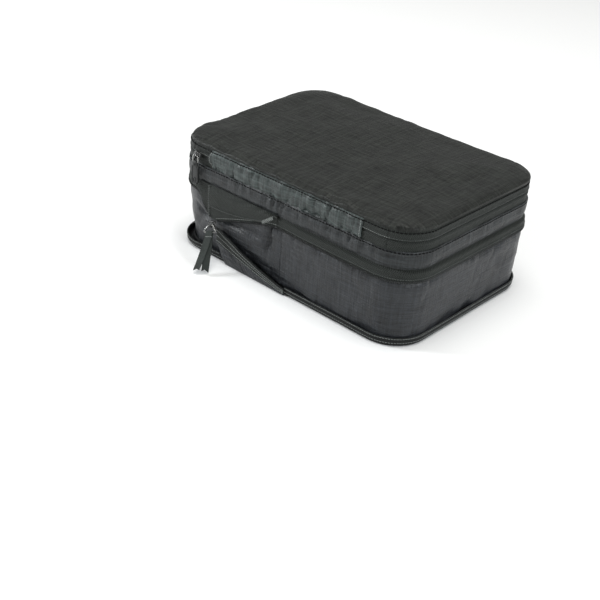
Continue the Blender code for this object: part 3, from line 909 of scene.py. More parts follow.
def ramp_edge(x):
    """Upper edge of the tape that climbs from the base to the slider."""
    share = between(SLIDER_POINT.x, RAMP_FOOT_X, x)
    return BASE_TAPE_TOP + (SLIDER_POINT.z - 0.001 - BASE_TAPE_TOP) * (1 - share) ** 1.2


def ramp_share(x):
    return between(RAMP_LEFT_X, RAMP_FOOT_X, x)


def ramp_low(x):
    return 0.0022 + (ramp_edge(np.array(RAMP_LEFT_X)) - 0.0145) * (1 - ramp_share(x)) ** 1.2


def web_top(x):
    return ramp_low(x) + 0.0008


def web_low(x):
    return 0.0004 + 0 * x


def ramp_tape_out(x, t):
    belly = np.sin(np.pi * ramp_share(x))
    return 0.0025 + 0.0012 * belly * (0.4 + 0.6 * t) + 0.0002 * noise(x / 0.006, t * 2, 81)


def web_out(x, t):
    crumple = noise(x / 0.007 + 1.5 * t, t * 3, 91) + 0.6 * noise(x / 0.003, t * 5, 92)
    belly = np.sin(np.pi * ramp_share(x))
    return 0.0020 + 0.0008 * belly * t + 0.0004 * (1 + crumple) * np.sin(np.pi * t)


def ramp_piece(obj, slot, *nodes):
    folding_piece(obj, "compression_slider", slot, SLIDER_POINT.z, RAMP_KEEP, *nodes)


def ramp():
    """Lower tape, its coil and the web of cloth under it, where they climb to the slider."""
    xs = spaced(RAMP_LEFT_X - 0.0022, RAMP_FOOT_X + 0.0008, FACE_STEP)
    tape = face_shell("ramp_tape_cloth", xs, 10, ramp_low, ramp_edge, ramp_tape_out, TAPE_CLOTH)
    ramp_piece(tape, "tape_cloth", "ramp_tape")
    web = face_shell("ramp_web_cloth", xs, 16, web_low, web_top, web_out, GUSSET_CLOTH, CLOTH)
    slant_left_edge(web, xs[0], xs[-1])
    ramp_piece(web, "ripstop", "ramp_web")
    edge = face_line(xs, ramp_tape_out(xs, 1.0) - TAPE / 2, ramp_edge(xs) + 0.0008)
    ramp_piece(coil("ramp_chain", edge), "coil_plastic", "ramp_coil")
    lines = []
    for share in (0.14, 0.52, 0.90):
        z = ramp_low(xs) + (ramp_edge(xs) - ramp_low(xs)) * share
        lines.append(face_line(xs, ramp_tape_out(xs, share) + THREAD_LIFT, z))
    sewn = stitches("ramp_stitches", lines, PALE_THREAD, 0.00024, pitch=0.0022, length=0.0016)
    ramp_piece(sewn, "thread")


# ---------------------------------------------------------------- the zip's start and far end


def start_edge(x):
    """Lower edge of the tape that runs from the middle seam down to the slider."""
    share = between(TAPE_START_X, SLIDER_POINT.x, x)
    low = UPPER_CHAIN - 0.0009
    return low - (low - SLIDER_POINT.z - 0.001) * share**1.25 + 0.0021


def start_piece(obj, slot, *nodes):
    folding_piece(obj, "upper_frame", slot, SEAM_LOW, START_KEEP, *nodes)


def start_share(x):
    return (x - FACING_LEFT_X) / (TAPE_START_X - FACING_LEFT_X)


def start_top(x):
    return np.minimum(start_edge(x) + 0.0125, SEAM_LOW - 0.0045 * (1 - start_share(x)))


def start_out(x, t):
    bow = np.sin(np.pi * np.clip(start_share(x), 0, 1))
    return 0.0010 + 0.0009 * bow * (1 - t) + 0.0003 * noise(x / 0.010, t * 2, 101)


def zip_start():
    """The upper tape and its coil, where they run down to the slider."""
    xs = spaced(FACING_LEFT_X, TAPE_START_X + 0.0008, FACE_STEP)
    tape = face_shell("start_tape_cloth", xs, 14, start_edge, start_top, start_out, TAPE_CLOTH)
    start_piece(tape, "tape_cloth", "zip_start_tape")
    chain_xs = spaced(SLIDER_POINT.x + 0.0050, TAPE_START_X, LINE_STEP)
    line = face_line(chain_xs, start_out(chain_xs, 0.0) - TAPE / 2, start_edge(chain_xs) - 0.0008)
    start_piece(coil("start_chain", line), "coil_plastic", "zip_start_coil")
    right = xs[xs > SLIDER_POINT.x]
    rows = [
        face_line(xs, start_out(xs, 0.92) + THREAD_LIFT, start_top(xs) - 0.0009),
        face_line(right, start_out(right, 0.1) + THREAD_LIFT, start_edge(right) + 0.0014),
    ]
    sewn = stitches("start_tape_stitches", rows, PALE_THREAD, 0.00017, pitch=0.0022, length=0.0016)
    start_piece(sewn, "thread")


def facing_piece(obj, slot, *nodes):
    folding_piece(obj, "upper_frame", slot, SEAM_LOW, FACING_KEEP, *nodes)


def facing_low(x):
    """The facing's lower edge: bowed down at the slider's side, slanted up past the bar tack."""
    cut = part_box("bar_tack")[0].x - 0.0006
    low_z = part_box("seam_facing")[0].z
    drop = low_z - FACING_DROP
    share = between(FACING_LEFT_X, cut, x)
    beyond = between(cut, TAPE_START_X, x)
    return drop + (low_z - drop) * share**2.2 + (SEAM_LOW - 0.0003 - low_z) * beyond


def facing_high(x):
    return SEAM_LOW + 0.0002 + 0 * x


def facing_out(x, t):
    puff = np.sin(np.pi * np.clip(t, 0, 1)) ** 0.6
    return 0.0024 + 0.0008 * puff - 0.0020 * smooth_step(0.75, 1.0, t) + 0.0005 * noise(x / 0.012, t * 2, 111)


def facing():
    """A folded strip of tape over the zip's start, sewn along its lower edge."""
    xs = spaced(FACING_LEFT_X, TAPE_START_X + 0.0006, FACE_STEP)
    strip = face_shell("facing_cloth", xs, 20, facing_low, facing_high, facing_out, TAPE_CLOTH, 0.0009)
    facing_piece(strip, "tape_cloth", "seam_facing")
    line = face_line(xs, facing_out(xs, 0.14) + 0.0002, facing_low(xs) + 0.0012)
    sewn = stitches("facing_stitches", [line], GREY_THREAD, 0.00022, pitch=0.0020, length=0.0013)
    facing_piece(sewn, "thread")


def zigzag(start, along, across, steps, lean, end_y, middle_y):
    """Threads that cross from side to side of a line in XZ, as lists of points."""
    paths = []
    for i in range(steps):
        side = 1 if i % 2 else -1
        first = start + along * (i / steps) + across * side
        last = start + along * ((i + 1) / steps) - across * side
        places = [first.lerp(last, share) for share in (0.0, lean, 1 - lean, 1.0)]
        paths.append([(p.x, y, p.z) for p, y in zip(places, (end_y, middle_y, middle_y, end_y))])
    return paths


def bar_tack():
    """A dense zigzag that holds the slanted end of the facing."""
    low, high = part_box("bar_tack")
    start = Vector((low.x - 0.0010, 0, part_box("seam_facing")[0].z - 0.0006))
    along = Vector((high.x - 0.0006, 0, SEAM_LOW - 0.0010)) - start
    across = Vector((-along.z, 0, along.x)).normalized() * 0.0013
    paths = zigzag(start, along, across, 15, 0.25, low.y, low.y - 0.0006)
    facing_piece(threads("bar_tack_threads", paths, 0.00026, PALE_THREAD), "thread", "bar_tack")


def end_seam():
    """Zigzag stitches down the end of the compression zip."""
    low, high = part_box("zip_end_seam")
    start, along = Vector((END_SEAM_X, 0, low.z)), Vector((0, 0, high.z - low.z))
    paths = zigzag(start, along, Vector((-0.0011, 0, 0)), 26, 0.3, low.y - 0.0001, low.y - 0.0004)
    start_piece(threads("end_seam_zigzag", paths, 0.00024, GREY_THREAD), "thread", "zip_end_seam")


def far_low(x):
    share = between(FAR_LEFT_X, FAR_RIGHT_X, x)
    return UPPER_CHAIN + 0.0012 - 0.0195 * share**0.95


def far_high(x):
    return SEAM_LOW + 0 * x


def far_out(x, t):
    return 0.0007 + 0.0009 * np.sin(np.pi * t) + 0.0004 * noise(x / 0.004, t * 3, 121)


def far_tape():
    """The zip's far end, which comes round the corner and drops to the slider."""
    xs = spaced(FAR_LEFT_X - 0.0010, END_SEAM_X + 0.0016, LINE_STEP)
    tape = face_shell("far_tape_cloth", xs, 18, far_low, far_high, far_out, TAPE_CLOTH)
    start_piece(tape, "tape_cloth", "zip_far_end_tape")
    edge = face_line(xs, far_out(xs, 0.0) - TAPE / 2, far_low(xs) - 0.0006)
    start_piece(coil("far_chain", edge), "coil_plastic")


# ---------------------------------------------------------------- upper frame


def band_offset(s, z):
    """The middle band: folded over the zip tape at its top edge, tucked into the seam below."""
    share = (z - SEAM_LOW) / (BAND_TOP + 0.0006 - SEAM_LOW)
    out = 0.0004 + 0.0010 * np.sin(np.pi * share) + 0.0006 * smooth_step(0.80, 0.93, share)
    out -= 0.0014 * smooth_step(0.16, 0.0, share) + 0.0003 * smooth_step(0.97, 1.0, share)
    out -= 0.00035 * bump(z, BAND_TOP - 0.0008, 0.0005)
    _, y, _, _ = outline(s)
    front = 0.35 + 0.65 * smooth_step(WALL_Y + 0.012, WALL_Y + 0.002, y)
    out += 0.0022 * front * gathers(s, BAND_TOP - z - 0.0012, 131, 0.0056, 0.0065, 0.15)
    out += 0.0009 * gathers(s, z - SEAM_LOW, 141, 0.0075, 0.0050, -0.2)
    out += 0.0003 * round_noise(s, z / 0.008, 0.012, 151)
    return np.maximum(out, -0.0003)


def dark_seam(name, offset, height, body):
    """Dark stitches all round the cube, sunk into the cloth that offset describes. Their black thread is
    painted darker still, as painted shade for the seam's crease.
    """
    s = np.linspace(0, PERIMETER, 1800)
    line = on_wall(s, offset, height + 0 * s, 0)
    piece(stitches(name, [line], BLACK_THREAD_AND_CREASE_SHADE, DARK_THREAD_RADIUS, length=0.0019), body, "thread")


def middle_band():
    heights = np.linspace(SEAM_LOW + 0.0001, BAND_TOP + 0.0006, 20)
    made = wall("band_wall", round_distances(0.0012), heights, band_offset, SIDE_CLOTH, closed=True)
    piece(made, "upper_frame", "ripstop", "middle_band")
    dark_seam("band_top_stitches", band_offset, BAND_TOP - 0.0008, "upper_frame")
    inside_binding("middle_binding", "middle_seam_binding", "upper_frame")


def comp_tape_offset(s, z):
    x, y, _, _ = outline(s)
    climb = smooth_step(0.030, 0.0, x) * on_front(y)
    stand = TAPE_STAND * (1 - 0.75 * climb)
    out = stand - (0.0011 + stand) * smooth_step(SEAM_LOW - 0.0030, SEAM_LOW - 0.0002, z)
    out += 0.0003 * bump(z, COMP_STITCHES, 0.0007)
    return out + 0.0002 * round_noise(s, z / 0.01, 0.02, 161)


def compression_tape():
    s = spaced(TAPE_START_X + 0.0003, PERIMETER + FAR_LEFT_X - 0.0003, 0.0016)
    heights = np.linspace(UPPER_CHAIN + 0.0004, SEAM_LOW, 14)
    tape = wall("comp_tape", s, heights, comp_tape_offset, TAPE_CLOTH, TAPE)
    piece(tape, "upper_frame", "tape_cloth", "comp_upper_tape")
    dense = spaced(s[0], s[-1], LINE_STEP)
    chain = coil("comp_chain", on_wall(dense, comp_tape_offset, UPPER_CHAIN, 0), half_out=FLAT_COIL)
    piece(chain, "upper_frame", "coil_plastic", "comp_upper_coil")
    line = on_wall(dense, comp_tape_offset, COMP_STITCHES)
    sewn = stitches("comp_tape_stitches", [line], GREY_THREAD, 0.00018, pitch=0.0019, length=0.0013)
    piece(sewn, "upper_frame", "thread")


def main_tape_offset(s, z):
    out = 0.0001 - 0.0010 * smooth_step(TOP_SEAM - 0.0022, TOP_SEAM - 0.0002, z)
    out -= 0.0007 * smooth_step(0.0013, 0.0001, np.abs(z - ZIP_HEIGHT))
    out += 0.0003 * bump(np.abs(z - ZIP_HEIGHT), 0.0022, 0.0006)
    out += 0.0004 * gathers(s, TOP_SEAM - z, 171, 0.0060, 0.0030, 0.1)
    return out + 0.00015 * round_noise(s, z / 0.01, 0.02, 181)


def main_zip():
    """Both halves of the main zip. The coil is on the inside, and the tapes meet over it."""
    reach = STRAIGHT_X / 2 + 0.0080
    s, dense = spaced(reach, PERIMETER - reach, 0.0014), spaced(reach, PERIMETER - reach, LINE_STEP)
    gap = 0.00012
    halves = (
        ("low", BAND_TOP - 0.0010, ZIP_HEIGHT - gap, "upper_frame", "main_lower_", -1),
        ("up", ZIP_HEIGHT + gap, TOP_SEAM - 0.0001, "lid", "main_upper_", 1),
    )
    for name, low, high, body, node, side in halves:
        tape = wall("main_tape_" + name, s, np.linspace(low, high, 16), main_tape_offset, TAPE_CLOTH, TAPE)
        piece(tape, body, "tape_cloth", node + "tape")
        z = ZIP_HEIGHT + side * 0.0009
        line = on_wall(dense, main_tape_offset, z, -TAPE - 0.0007)
        chain = coil("main_chain_" + name, line, half_out=FLAT_COIL, half_up=0.0010)
        piece(chain, body, "coil_plastic", node + "coil")
    line = on_wall(dense, main_tape_offset, ZIP_STITCHES)
    sewn = stitches("main_tape_up_stitches", [line], GREY_THREAD, 0.00018, pitch=0.0019, length=0.0012)
    piece(sewn, "lid", "thread")


def strip_offset(s, z):
    """The hinge strip, gathered at both of its seams."""
    share = (z - BAND_TOP) / (TOP_SEAM - BAND_TOP)
    inside = smooth_step(0.0, 0.06, share)
    out = 0.0001 + 0.0016 * np.sin(np.pi * np.clip(share, 0, 1)) ** 0.8
    out -= 0.0012 * smooth_step(0.90, 1.0, share)
    gathered = 0.0027 * gathers(s, TOP_SEAM - z - 0.001, 191, 0.0058, 0.0080, 0.25)
    gathered += 0.0028 * gathers(s, z - BAND_TOP, 201, 0.0052, 0.0075, -0.2)
    out += inside * (gathered + 0.0003 * noise(s / 0.010, z / 0.006, 211))
    return out


def hinge_strip():
    s = spaced(-STRIP_HALF, STRIP_HALF, 0.0010)
    heights = np.linspace(BAND_TOP - 0.0008, TOP_SEAM - 0.0001, 26)
    made = wall("hinge_cloth", s, heights, strip_offset, STRIP_CLOTH, CLOTH)
    bending_piece(made, "ripstop", "hinge_strip")


ZIP_END_REACH = STRAIGHT_X / 2 + 0.0100


def zip_end_offset(s, z):
    """As the zip's tapes, tucked in under them at its outer end."""
    tuck = smooth_step(ZIP_END_REACH - 0.0032, ZIP_END_REACH - 0.0018, np.abs(s))
    return main_tape_offset(s, z) - 0.0007 * tuck


def zip_end(side, start, end):
    """A closed end of the main zip beside the hinge strip."""
    heights = np.linspace(BAND_TOP - 0.0010, TOP_SEAM - 0.0001, 30)
    tape = wall("zip_end_tape_" + side, spaced(start, end, 0.0010), heights, zip_end_offset, TAPE_CLOTH, TAPE)
    bending_piece(tape, "tape_cloth", "zip_end_" + side)
    dense = spaced(start, end, LINE_STEP)
    line = on_wall(dense, main_tape_offset, ZIP_STITCHES)
    sewn = stitches("zip_end_stitches_" + side, [line], PALE_THREAD, 0.00015, pitch=0.0017, length=0.0012)
    bending_piece(sewn, "thread")


def zip_ends():
    """Both closed ends of the main zip, and the seams that join them to the hinge strip."""
    zip_end("left", -ZIP_END_REACH, -STRIP_HALF + 0.0004)
    zip_end("right", STRIP_HALF - 0.0004, ZIP_END_REACH)
    z = np.linspace(BAND_TOP + 0.0008, TOP_SEAM - 0.0012, 40)
    bow = 0.0022 * np.sin(np.pi * (z - z[0]) / (z[-1] - z[0]))
    for side, where in (("left", -STRIP_HALF + 0.0014 - bow), ("right", STRIP_HALF - 0.0014 + 0 * z)):
        name = "strip_end_stitches_" + side
        line = on_wall(where, strip_offset, z, 0.0002)
        sewn = stitches(name, [line], PALE_THREAD, 0.00024, pitch=0.0022, length=0.0017)
        bending_piece(sewn, "thread")


# ---------------------------------------------------------------- lid


def panel_point(u, v):
    """A point of the unit square's grid, moved so that the square's corners become the outline's."""
    qx = (np.abs(u) * HALF_X - (HALF_X - CORNER)) / CORNER
    qy = (np.abs(v) * HALF_Y - (HALF_Y - CORNER)) / CORNER
    both = (qx > 0) & (qy > 0)
    rx, ry = np.clip(qx, 0, 1), np.clip(qy, 0, 1)
    x = np.where(both, HALF_X - CORNER + CORNER * rx * np.sqrt(1 - ry**2 / 2), np.abs(u) * HALF_X)
    y = np.where(both, HALF_Y - CORNER + CORNER * ry * np.sqrt(1 - rx**2 / 2), np.abs(v) * HALF_Y)
    return x * np.sign(u), y * np.sign(v)


def edge_spaced(half):
    """Places from -1 to 1 across a panel, close together near both ends."""
    reach = 0.0060
    near = np.arange(0, reach, 0.0006)
    middle = spaced(reach, 2 * half - reach, 0.0030)
    return np.concatenate([near, middle, 2 * half - near[::-1]]) / half - 1


def panel_height(depth, x, y):
    """The lid panel's height by its depth inside the outline: a puffy rolled edge, then a crown."""
    roll = 1 - np.exp(-(depth.clip(0) / 0.0028) ** 0.8)
    tuck = 0.0006 * np.exp(-depth.clip(0) / 0.0005)
    crown = 1 - (1 - between(0, HALF_Y, depth)) ** 3.0
    back = smooth_step(-0.040, 0.050, y)
    rise = 0.0042 + back * (0.0008 + 0.0034 * smooth_step(0.060, -0.100, x))
    return TOP_SEAM + 0.0002 - tuck + rise * roll + (CROWN - 0.0012) * crown


def outline_distance(x, y):
    """Distance round the outline of the point nearest to (x, y)."""
    cx, cy = HALF_X - CORNER, HALF_Y - CORNER
    px, py = np.clip(x, -cx, cx), np.clip(y, -cy, cy)
    angle = np.arctan2(y - py, x - px)
    inside = (np.abs(x) < cx) & (np.abs(y) < cy)
    nearer_side = (cx - np.abs(x)) < (cy - np.abs(y))
    side = np.where(nearer_side, np.where(x > 0, 0.0, math.pi), np.where(y > 0, math.pi / 2, -math.pi / 2))
    turned = np.mod(np.where(inside, side, angle) + math.pi / 2, 2 * math.pi)
    quarter = np.clip(np.floor(turned / (math.pi / 2)), 0, 3).astype(int)
    arc = (turned - quarter * math.pi / 2) * CORNER
    half = np.array([STRAIGHT_X, STRAIGHT_Y, STRAIGHT_X, STRAIGHT_Y]) / 2
    starts = np.concatenate([[0], np.cumsum(half[:-1] + half[1:] + ARC)])
    along = np.choose(quarter, [x, y, -x, -y])
    length = half[quarter]
    return starts[quarter] + np.where(arc < 1e-6 * CORNER, np.clip(along, -length, length), length + arc)


def settled_panel():
    """A function of (u, v): how far cloth pinned at the rim has risen or sunk from its crown."""
    us, vs = np.linspace(-1, 1, 73), np.linspace(-1, 1, 49)
    u, v = np.meshgrid(us, vs, indexing="ij")
    x, y = panel_point(u, v)
    depth = -signed_offset(x, y + stuffing(y))[0]
    start = panel_height(depth, x, y) + 0.0004 * noise(x / 0.015, y / 0.015, 261)
    points = np.stack([x, y, start], -1)
    rest = points * np.array([1.012, 1.014, 1.0])
    pinned = (np.abs(u) > 0.999) | (np.abs(v) > 0.999)
    settled = settle(points, rest, pinned, grid_faces(*u.shape, 0, flip=True), 0.03, 24, 0.6)
    change = np.clip(settled[..., 2] - panel_height(depth, x, y), -0.0025, 0.0025)

    def sample(at_u, at_v):
        rows = (at_u + 1) / 2 * (len(us) - 1)
        columns = (at_v + 1) / 2 * (len(vs) - 1)
        i = np.floor(rows).astype(int).clip(0, len(us) - 2)
        j = np.floor(columns).astype(int).clip(0, len(vs) - 2)
        a, b = rows - i, columns - j
        a, b = a * a * (3 - 2 * a), b * b * (3 - 2 * b)
        low = change[i, j] * (1 - a) + change[i + 1, j] * a
        high = change[i, j + 1] * (1 - a) + change[i + 1, j + 1] * a
        return low * (1 - b) + high * b

    return sample


def lid_panel():
    """The top panel: crowned by what fills the cube, drawn in at the seam all round."""
    us, vs = edge_spaced(HALF_X), edge_spaced(HALF_Y)
    u, v = np.meshgrid(us, vs, indexing="ij")
    x, y = panel_point(u, v)
    offset, nx, ny = signed_offset(x, y + stuffing(y))
    depth = -offset
    z = panel_height(depth, x, y)
    z = z + settled_panel()(u, v) * smooth_step(0.002, 0.012, depth)
    s = outline_distance(x, y)
    front = 0.35 + 0.65 * smooth_step(0.0, -0.060, y)
    z += 0.0017 * front * gathers(s, depth, 221, 0.0100, 0.0130, 0.3)
    z += 0.0007 * noise(x / 0.050, y / 0.050, 231) * smooth_step(0.0, 0.030, depth)
    z += 0.00022 * noise(x / 0.012 + 3, y / 0.012, 241) * smooth_step(0.0, 0.020, depth)
    swell = 0.0020 + 0.0026 * smooth_step(-0.020, HALF_Y, y) - 0.0012 * smooth_step(-0.09, -0.12, x)
    out = -SEAM_INSET + swell * (1 - np.exp(-depth / 0.0010)) * np.exp(-depth / 0.0060)
    out += 0.0008 * front * gathers(s, depth, 251, 0.0060, 0.005)
    near = out * np.exp(-depth / 0.010)
    x, y = x + nx * near, y + ny * near
    outer = np.stack([x, y + stuffing(y), z], -1)
    made = shell("lid_panel", outer, outer - np.array([0, 0, CLOTH]), np.stack([x, y], -1), TOP_CLOTH)
    piece(made, "lid", "ripstop", "top_panel")


def under_lid_offset(s, z):
    """The cloth just under the lid's seam: the hinge strip on the -Y side, elsewhere the zip tape."""
    x, y, _, _ = outline(s)
    on_strip = (np.abs(x) < STRIP_HALF) & (y < 0)
    return np.where(on_strip, strip_offset(signed_distance(s), z), main_tape_offset(s, z))


def lid_seam():
    """The top panel's stitches and the binding inside its seam."""
    dark_seam("lid_seam_stitches", under_lid_offset, TOP_SEAM - 0.0013, "lid")
    inside_binding("lid_binding", "top_seam_binding", "lid", offset=-0.0020)


# ---------------------------------------------------------------- sliders and pulls


def local_frame(origin, along, down):
    """A matrix from local axes (X along, -Z down, Y towards the cube) to the row frame."""
    z = -Vector(down).normalized()
    x = (Vector(along) - z * Vector(along).dot(z)).normalized()
    y = z.cross(x)
    return Matrix.Translation(origin) @ Matrix((x, y, z)).transposed().to_4x4()


def placed(obj, matrix):
    obj.data.transform(matrix)
    return obj


def plate(name, outline_points, low_y, high_y, bevel, look, segments=3):
    """An outline in the XZ plane made into a plate between two Y values, its edges rounded."""
    mesh = bmesh.new()
    rings = [[mesh.verts.new((x, y, z)) for x, z in outline_points] for y in (low_y, high_y)]
    mesh.faces.new(rings[0])
    mesh.faces.new(rings[1][::-1])
    for i in range(len(outline_points)):
        j = (i + 1) % len(outline_points)
        mesh.faces.new((rings[0][i], rings[1][i], rings[1][j], rings[0][j]))
    bmesh.ops.recalc_face_normals(mesh, faces=mesh.faces)
    rims = [e for e in mesh.edges if abs(e.verts[0].co.y - e.verts[1].co.y) < 1e-6]
    bmesh.ops.bevel(mesh, geom=rims, offset=bevel, segments=segments, affect="EDGES", profile=0.5)
    data = bpy.data.meshes.new(name)
    mesh.to_mesh(data)
    mesh.free()
    return finished(name, data, look, 40)


def joined(name, parts):
    """One object from several meshes, in the first one's place."""
    bpy.ops.object.select_all(action="DESELECT")
    for part in parts:
        part.select_set(True)
    bpy.context.view_layer.objects.active = parts[0]
    bpy.ops.object.join()
    parts[0].name = name
    parts[0].data.name = name
    return parts[0]


def shield(length, wide, narrow, steps=7):
    """A slider's plan: a broad rounded end and a narrow one, as (x, z) points."""
    half = length / 2
    points = []
    for a in np.linspace(math.pi / 2, -math.pi / 2, steps):
        points.append((half - wide * 0.45 + wide * 0.45 * math.cos(a), wide / 2 * math.sin(a)))
    for a in np.linspace(-math.pi / 2, -3 * math.pi / 2, steps):
        points.append((-half + narrow * 0.5 + narrow * 0.5 * math.cos(a), narrow / 2 * math.sin(a)))
    return points[::-1]


def slider(name, node, body, mouth):
    """A zip slider: two plates, side rails and the bridge that carries the pull."""
    low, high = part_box(node)
    centre = Vector(((low.x + high.x) / 2, 0, (low.z + high.z) / 2))
    length = (high.x - low.x) * 0.98
    wide = high.z - low.z
    narrow = wide * 0.66
    face = high.y - 0.0024

    def facing_mouth(points):
        return [(x * mouth, z) for x, z in points]

    top = facing_mouth(shield(length, wide, narrow))[::mouth]
    parts = [plate("top", top, face, face + 0.0011, 0.0004, GUNMETAL)]
    for side in (-1, 1):
        rail = [(-length * 0.36, side * narrow * inner) for inner in (0.40, 0.49)]
        rail[1:1] = [(length * 0.30, side * wide * inner) for inner in (0.40, 0.49)]
        parts.append(plate("rail", facing_mouth(rail), face + 0.0009, face + 0.0021, 0.0002, GUNMETAL, 2))
    angles = np.linspace(0, math.pi, 15)
    arch = points_at(0, face + 0.0003 - 0.0030 * np.sin(angles) ** 0.8, wide * 0.33 * np.cos(angles))
    parts.append(threads("strap", [arch], 0.00055, GUNMETAL, sides=10, sharp=60))
    back, front = -length * 0.46, -length * 0.30
    nose = facing_mouth([(back, -0.0008), (front, -0.0012), (front, 0.0012), (back, 0.0008)])[::mouth]
    parts.append(plate("nose", nose, face - 0.0005, face + 0.0002, 0.0002, GUNMETAL, 2))
    made = joined(name, parts)
    made.data.transform(Matrix.Translation(centre))
    piece(made, body, "gunmetal", node)


def rounded_loop(corners, radius, steps=6):
    """Closed path through (x, z) corners, each corner turned into a curve."""
    path = []
    for i, corner in enumerate(corners):
        here, before = Vector(corner), Vector(corners[i - 1])
        after = Vector(corners[(i + 1) % len(corners)])
        start = here + (before - here).normalized() * radius
        end = here + (after - here).normalized() * radius
        for share in np.linspace(0, 1, steps + 1):
            bent = start.lerp(here, share).lerp(here.lerp(end, share), share)
            path.append((bent.x, 0.0, bent.y))
    return path


def wire_loop(name, top_half, bottom_half, drop, radius, look):
    corners = [(top_half, 0), (bottom_half, -drop), (-bottom_half, -drop), (-top_half, 0)]
    return threads(name, [rounded_loop(corners, 0.0016)], radius, look, sides=10, closed=True)


def ribbon_tail(name, front, length, sway, twist, curl):
    """One tail of the folded ribbon, from over the wire to its notched end."""
    loop, half, half_thick = 0.0012, 0.0031, 0.00032
    side = -1 if front else 1
    angles = np.radians(np.linspace(90, 180 if front else 0, 8))
    path = [(loop * math.cos(a), loop * math.sin(a) * 0.9) for a in angles]
    for down in np.linspace(0.0012, length, 34):
        share = down / length
        path.append((side * (loop * 0.95 - 0.0004 * math.sin(share * 3) + curl * share**2), -down))
    path = np.array(path)
    walked = run_along(path)
    w, k = np.meshgrid(walked, np.linspace(-1, 1, 11), indexing="ij")
    share = w / walked[-1]
    notch = 0.0016 * (1 - np.abs(k)) * smooth_step(0.90, 1.0, share)
    width = half * (1 - 0.10 * bump(share, 0.12, 0.10)) * k
    turn = twist * share**1.4
    x = width * np.cos(turn) + sway * share**1.3
    y = np.interp(w - notch, walked, path[:, 0]) + 0.0004 * k**2 * side * share + width * np.sin(turn)
    centre = np.stack([x, y, np.interp(w - notch, walked, path[:, 1])], -1)
    normal = np.cross(np.gradient(centre, axis=0), np.gradient(centre, axis=1))
    normal *= half_thick / np.linalg.norm(normal, axis=2, keepdims=True)
    return shell(name, centre + normal, centre - normal, np.stack([w, k * half], -1), RIBBON)


def compression_puller():
    slider("comp_slider_body", "comp_slider", "compression_slider", 1)
    ribbon_joint = JOINTS["ribbon_swing"]
    ribbon_at = Vector(ribbon_joint["pos_m"])
    drop = ribbon_at - SLIDER_POINT
    along = -Vector(ribbon_joint["axis"])
    ring = wire_loop("ring_wire", 0.0018, 0.0054, drop.length, 0.00062, BRIGHT_METAL)
    piece(placed(ring, local_frame(SLIDER_POINT, along, drop)), "compression_ring", "gunmetal", "comp_ring")
    front = ribbon_tail("tail_front", True, 0.0335, -0.0068, math.radians(-16), 0.0010)
    back = ribbon_tail("tail_back", False, 0.0335, -0.0006, math.radians(42), 0.0004)
    bar = [(-0.0028 + 0.0056 * i / 9, -0.00135, -0.0042 + (0.0002 if i % 2 else -0.0002)) for i in range(10)]
    ribbon = joined("ribbon_tails", [front, back, threads("tack", [bar], 0.00022, PALE_THREAD)])
    piece(placed(ribbon, local_frame(ribbon_at, along, drop)), "ribbon_pull", "webbing", "comp_ribbon_pull")


def stadium(half, low, neck, shoulder, top, steps=13):
    """A pull's outline: a narrow neck, shoulders and a round end, as (x, z) points."""
    right = [(neck, top), (neck, shoulder + 0.0004)]
    for a in np.linspace(0.2, 1.4, 4):
        right.append((half - 0.0012 * (1 - math.sin(a)), shoulder - 0.0024 + 0.0014 * math.cos(a)))
    end = [(half * math.cos(a), low + half * math.sin(a)) for a in np.linspace(0.0, -math.pi, steps)]
    left = [(-x, z) for x, z in right[::-1]]
    return left[-1:] + right + end + left[:-1]


def rim(name, path, radius):
    return threads(name, [path], radius, PULL, sides=7, closed=True)


def main_puller():
    slider("main_slider_body", "main_slider", "main_slider", -1)
    at = Vector(JOINTS["pull_swing"]["pos_m"])
    place = local_frame(at, (1, 0, 0), (0, 0, -1))
    low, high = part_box("main_pull")
    bottom = low.z - at.z
    drop = at.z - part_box("main_link")[0].z - 0.0006
    link = wire_loop("pull_link", 0.0030, 0.0031, drop, 0.00055, BRIGHT_METAL)
    piece(placed(link, place), "main_pull", "gunmetal", "main_link")
    half = (high.x - low.x) / 2
    edge = stadium(half, bottom + half, 0.0021, -drop - 0.0016, -drop + 0.0016)
    raised = stadium(half, bottom + half, 0.0016, -drop - 0.0030, -drop - 0.0010)
    turns = np.arange(24) * 2 * math.pi / 24
    around = np.arange(20) * 2 * math.pi / 20
    eye = points_at(0.0014 * np.cos(turns), -0.0011, bottom + 0.0040 + 0.0019 * np.sin(turns))
    collar = points_at(0.0019 * np.cos(around), 0.0015 * np.sin(around), -drop - 0.0022)
    parts = [
        plate("pull_body", edge, -0.0010, 0.0010, 0.0005, PULL),
        rim("rim", [(x * 0.78, -0.0010, max(z, bottom + 0.0009)) for x, z in raised], 0.00042),
        rim("eye", eye, 0.00034),
        rim("collar", collar, 0.00045),
    ]
    piece(placed(joined("pull_moulded", parts), place), "main_pull", "moulded", "main_pull")


# ---------------------------------------------------------------- grab handle


HANDLE_LOW, HANDLE_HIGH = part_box("grab_handle")
HANDLE_SPAN = 0.0306
HANDLE_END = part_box("grab_foot_back")[1].y
HANDLE_RISE = -HALF_X - HANDLE_LOW.x - 0.0019


def handle_bow(y):
    """How far the webbing's inner face stands off the short side."""
    share = between(0, HANDLE_SPAN, np.abs(y))
    return 0.0003 + HANDLE_RISE * np.maximum(np.cos(math.pi / 2 * share), 0) ** 0.8


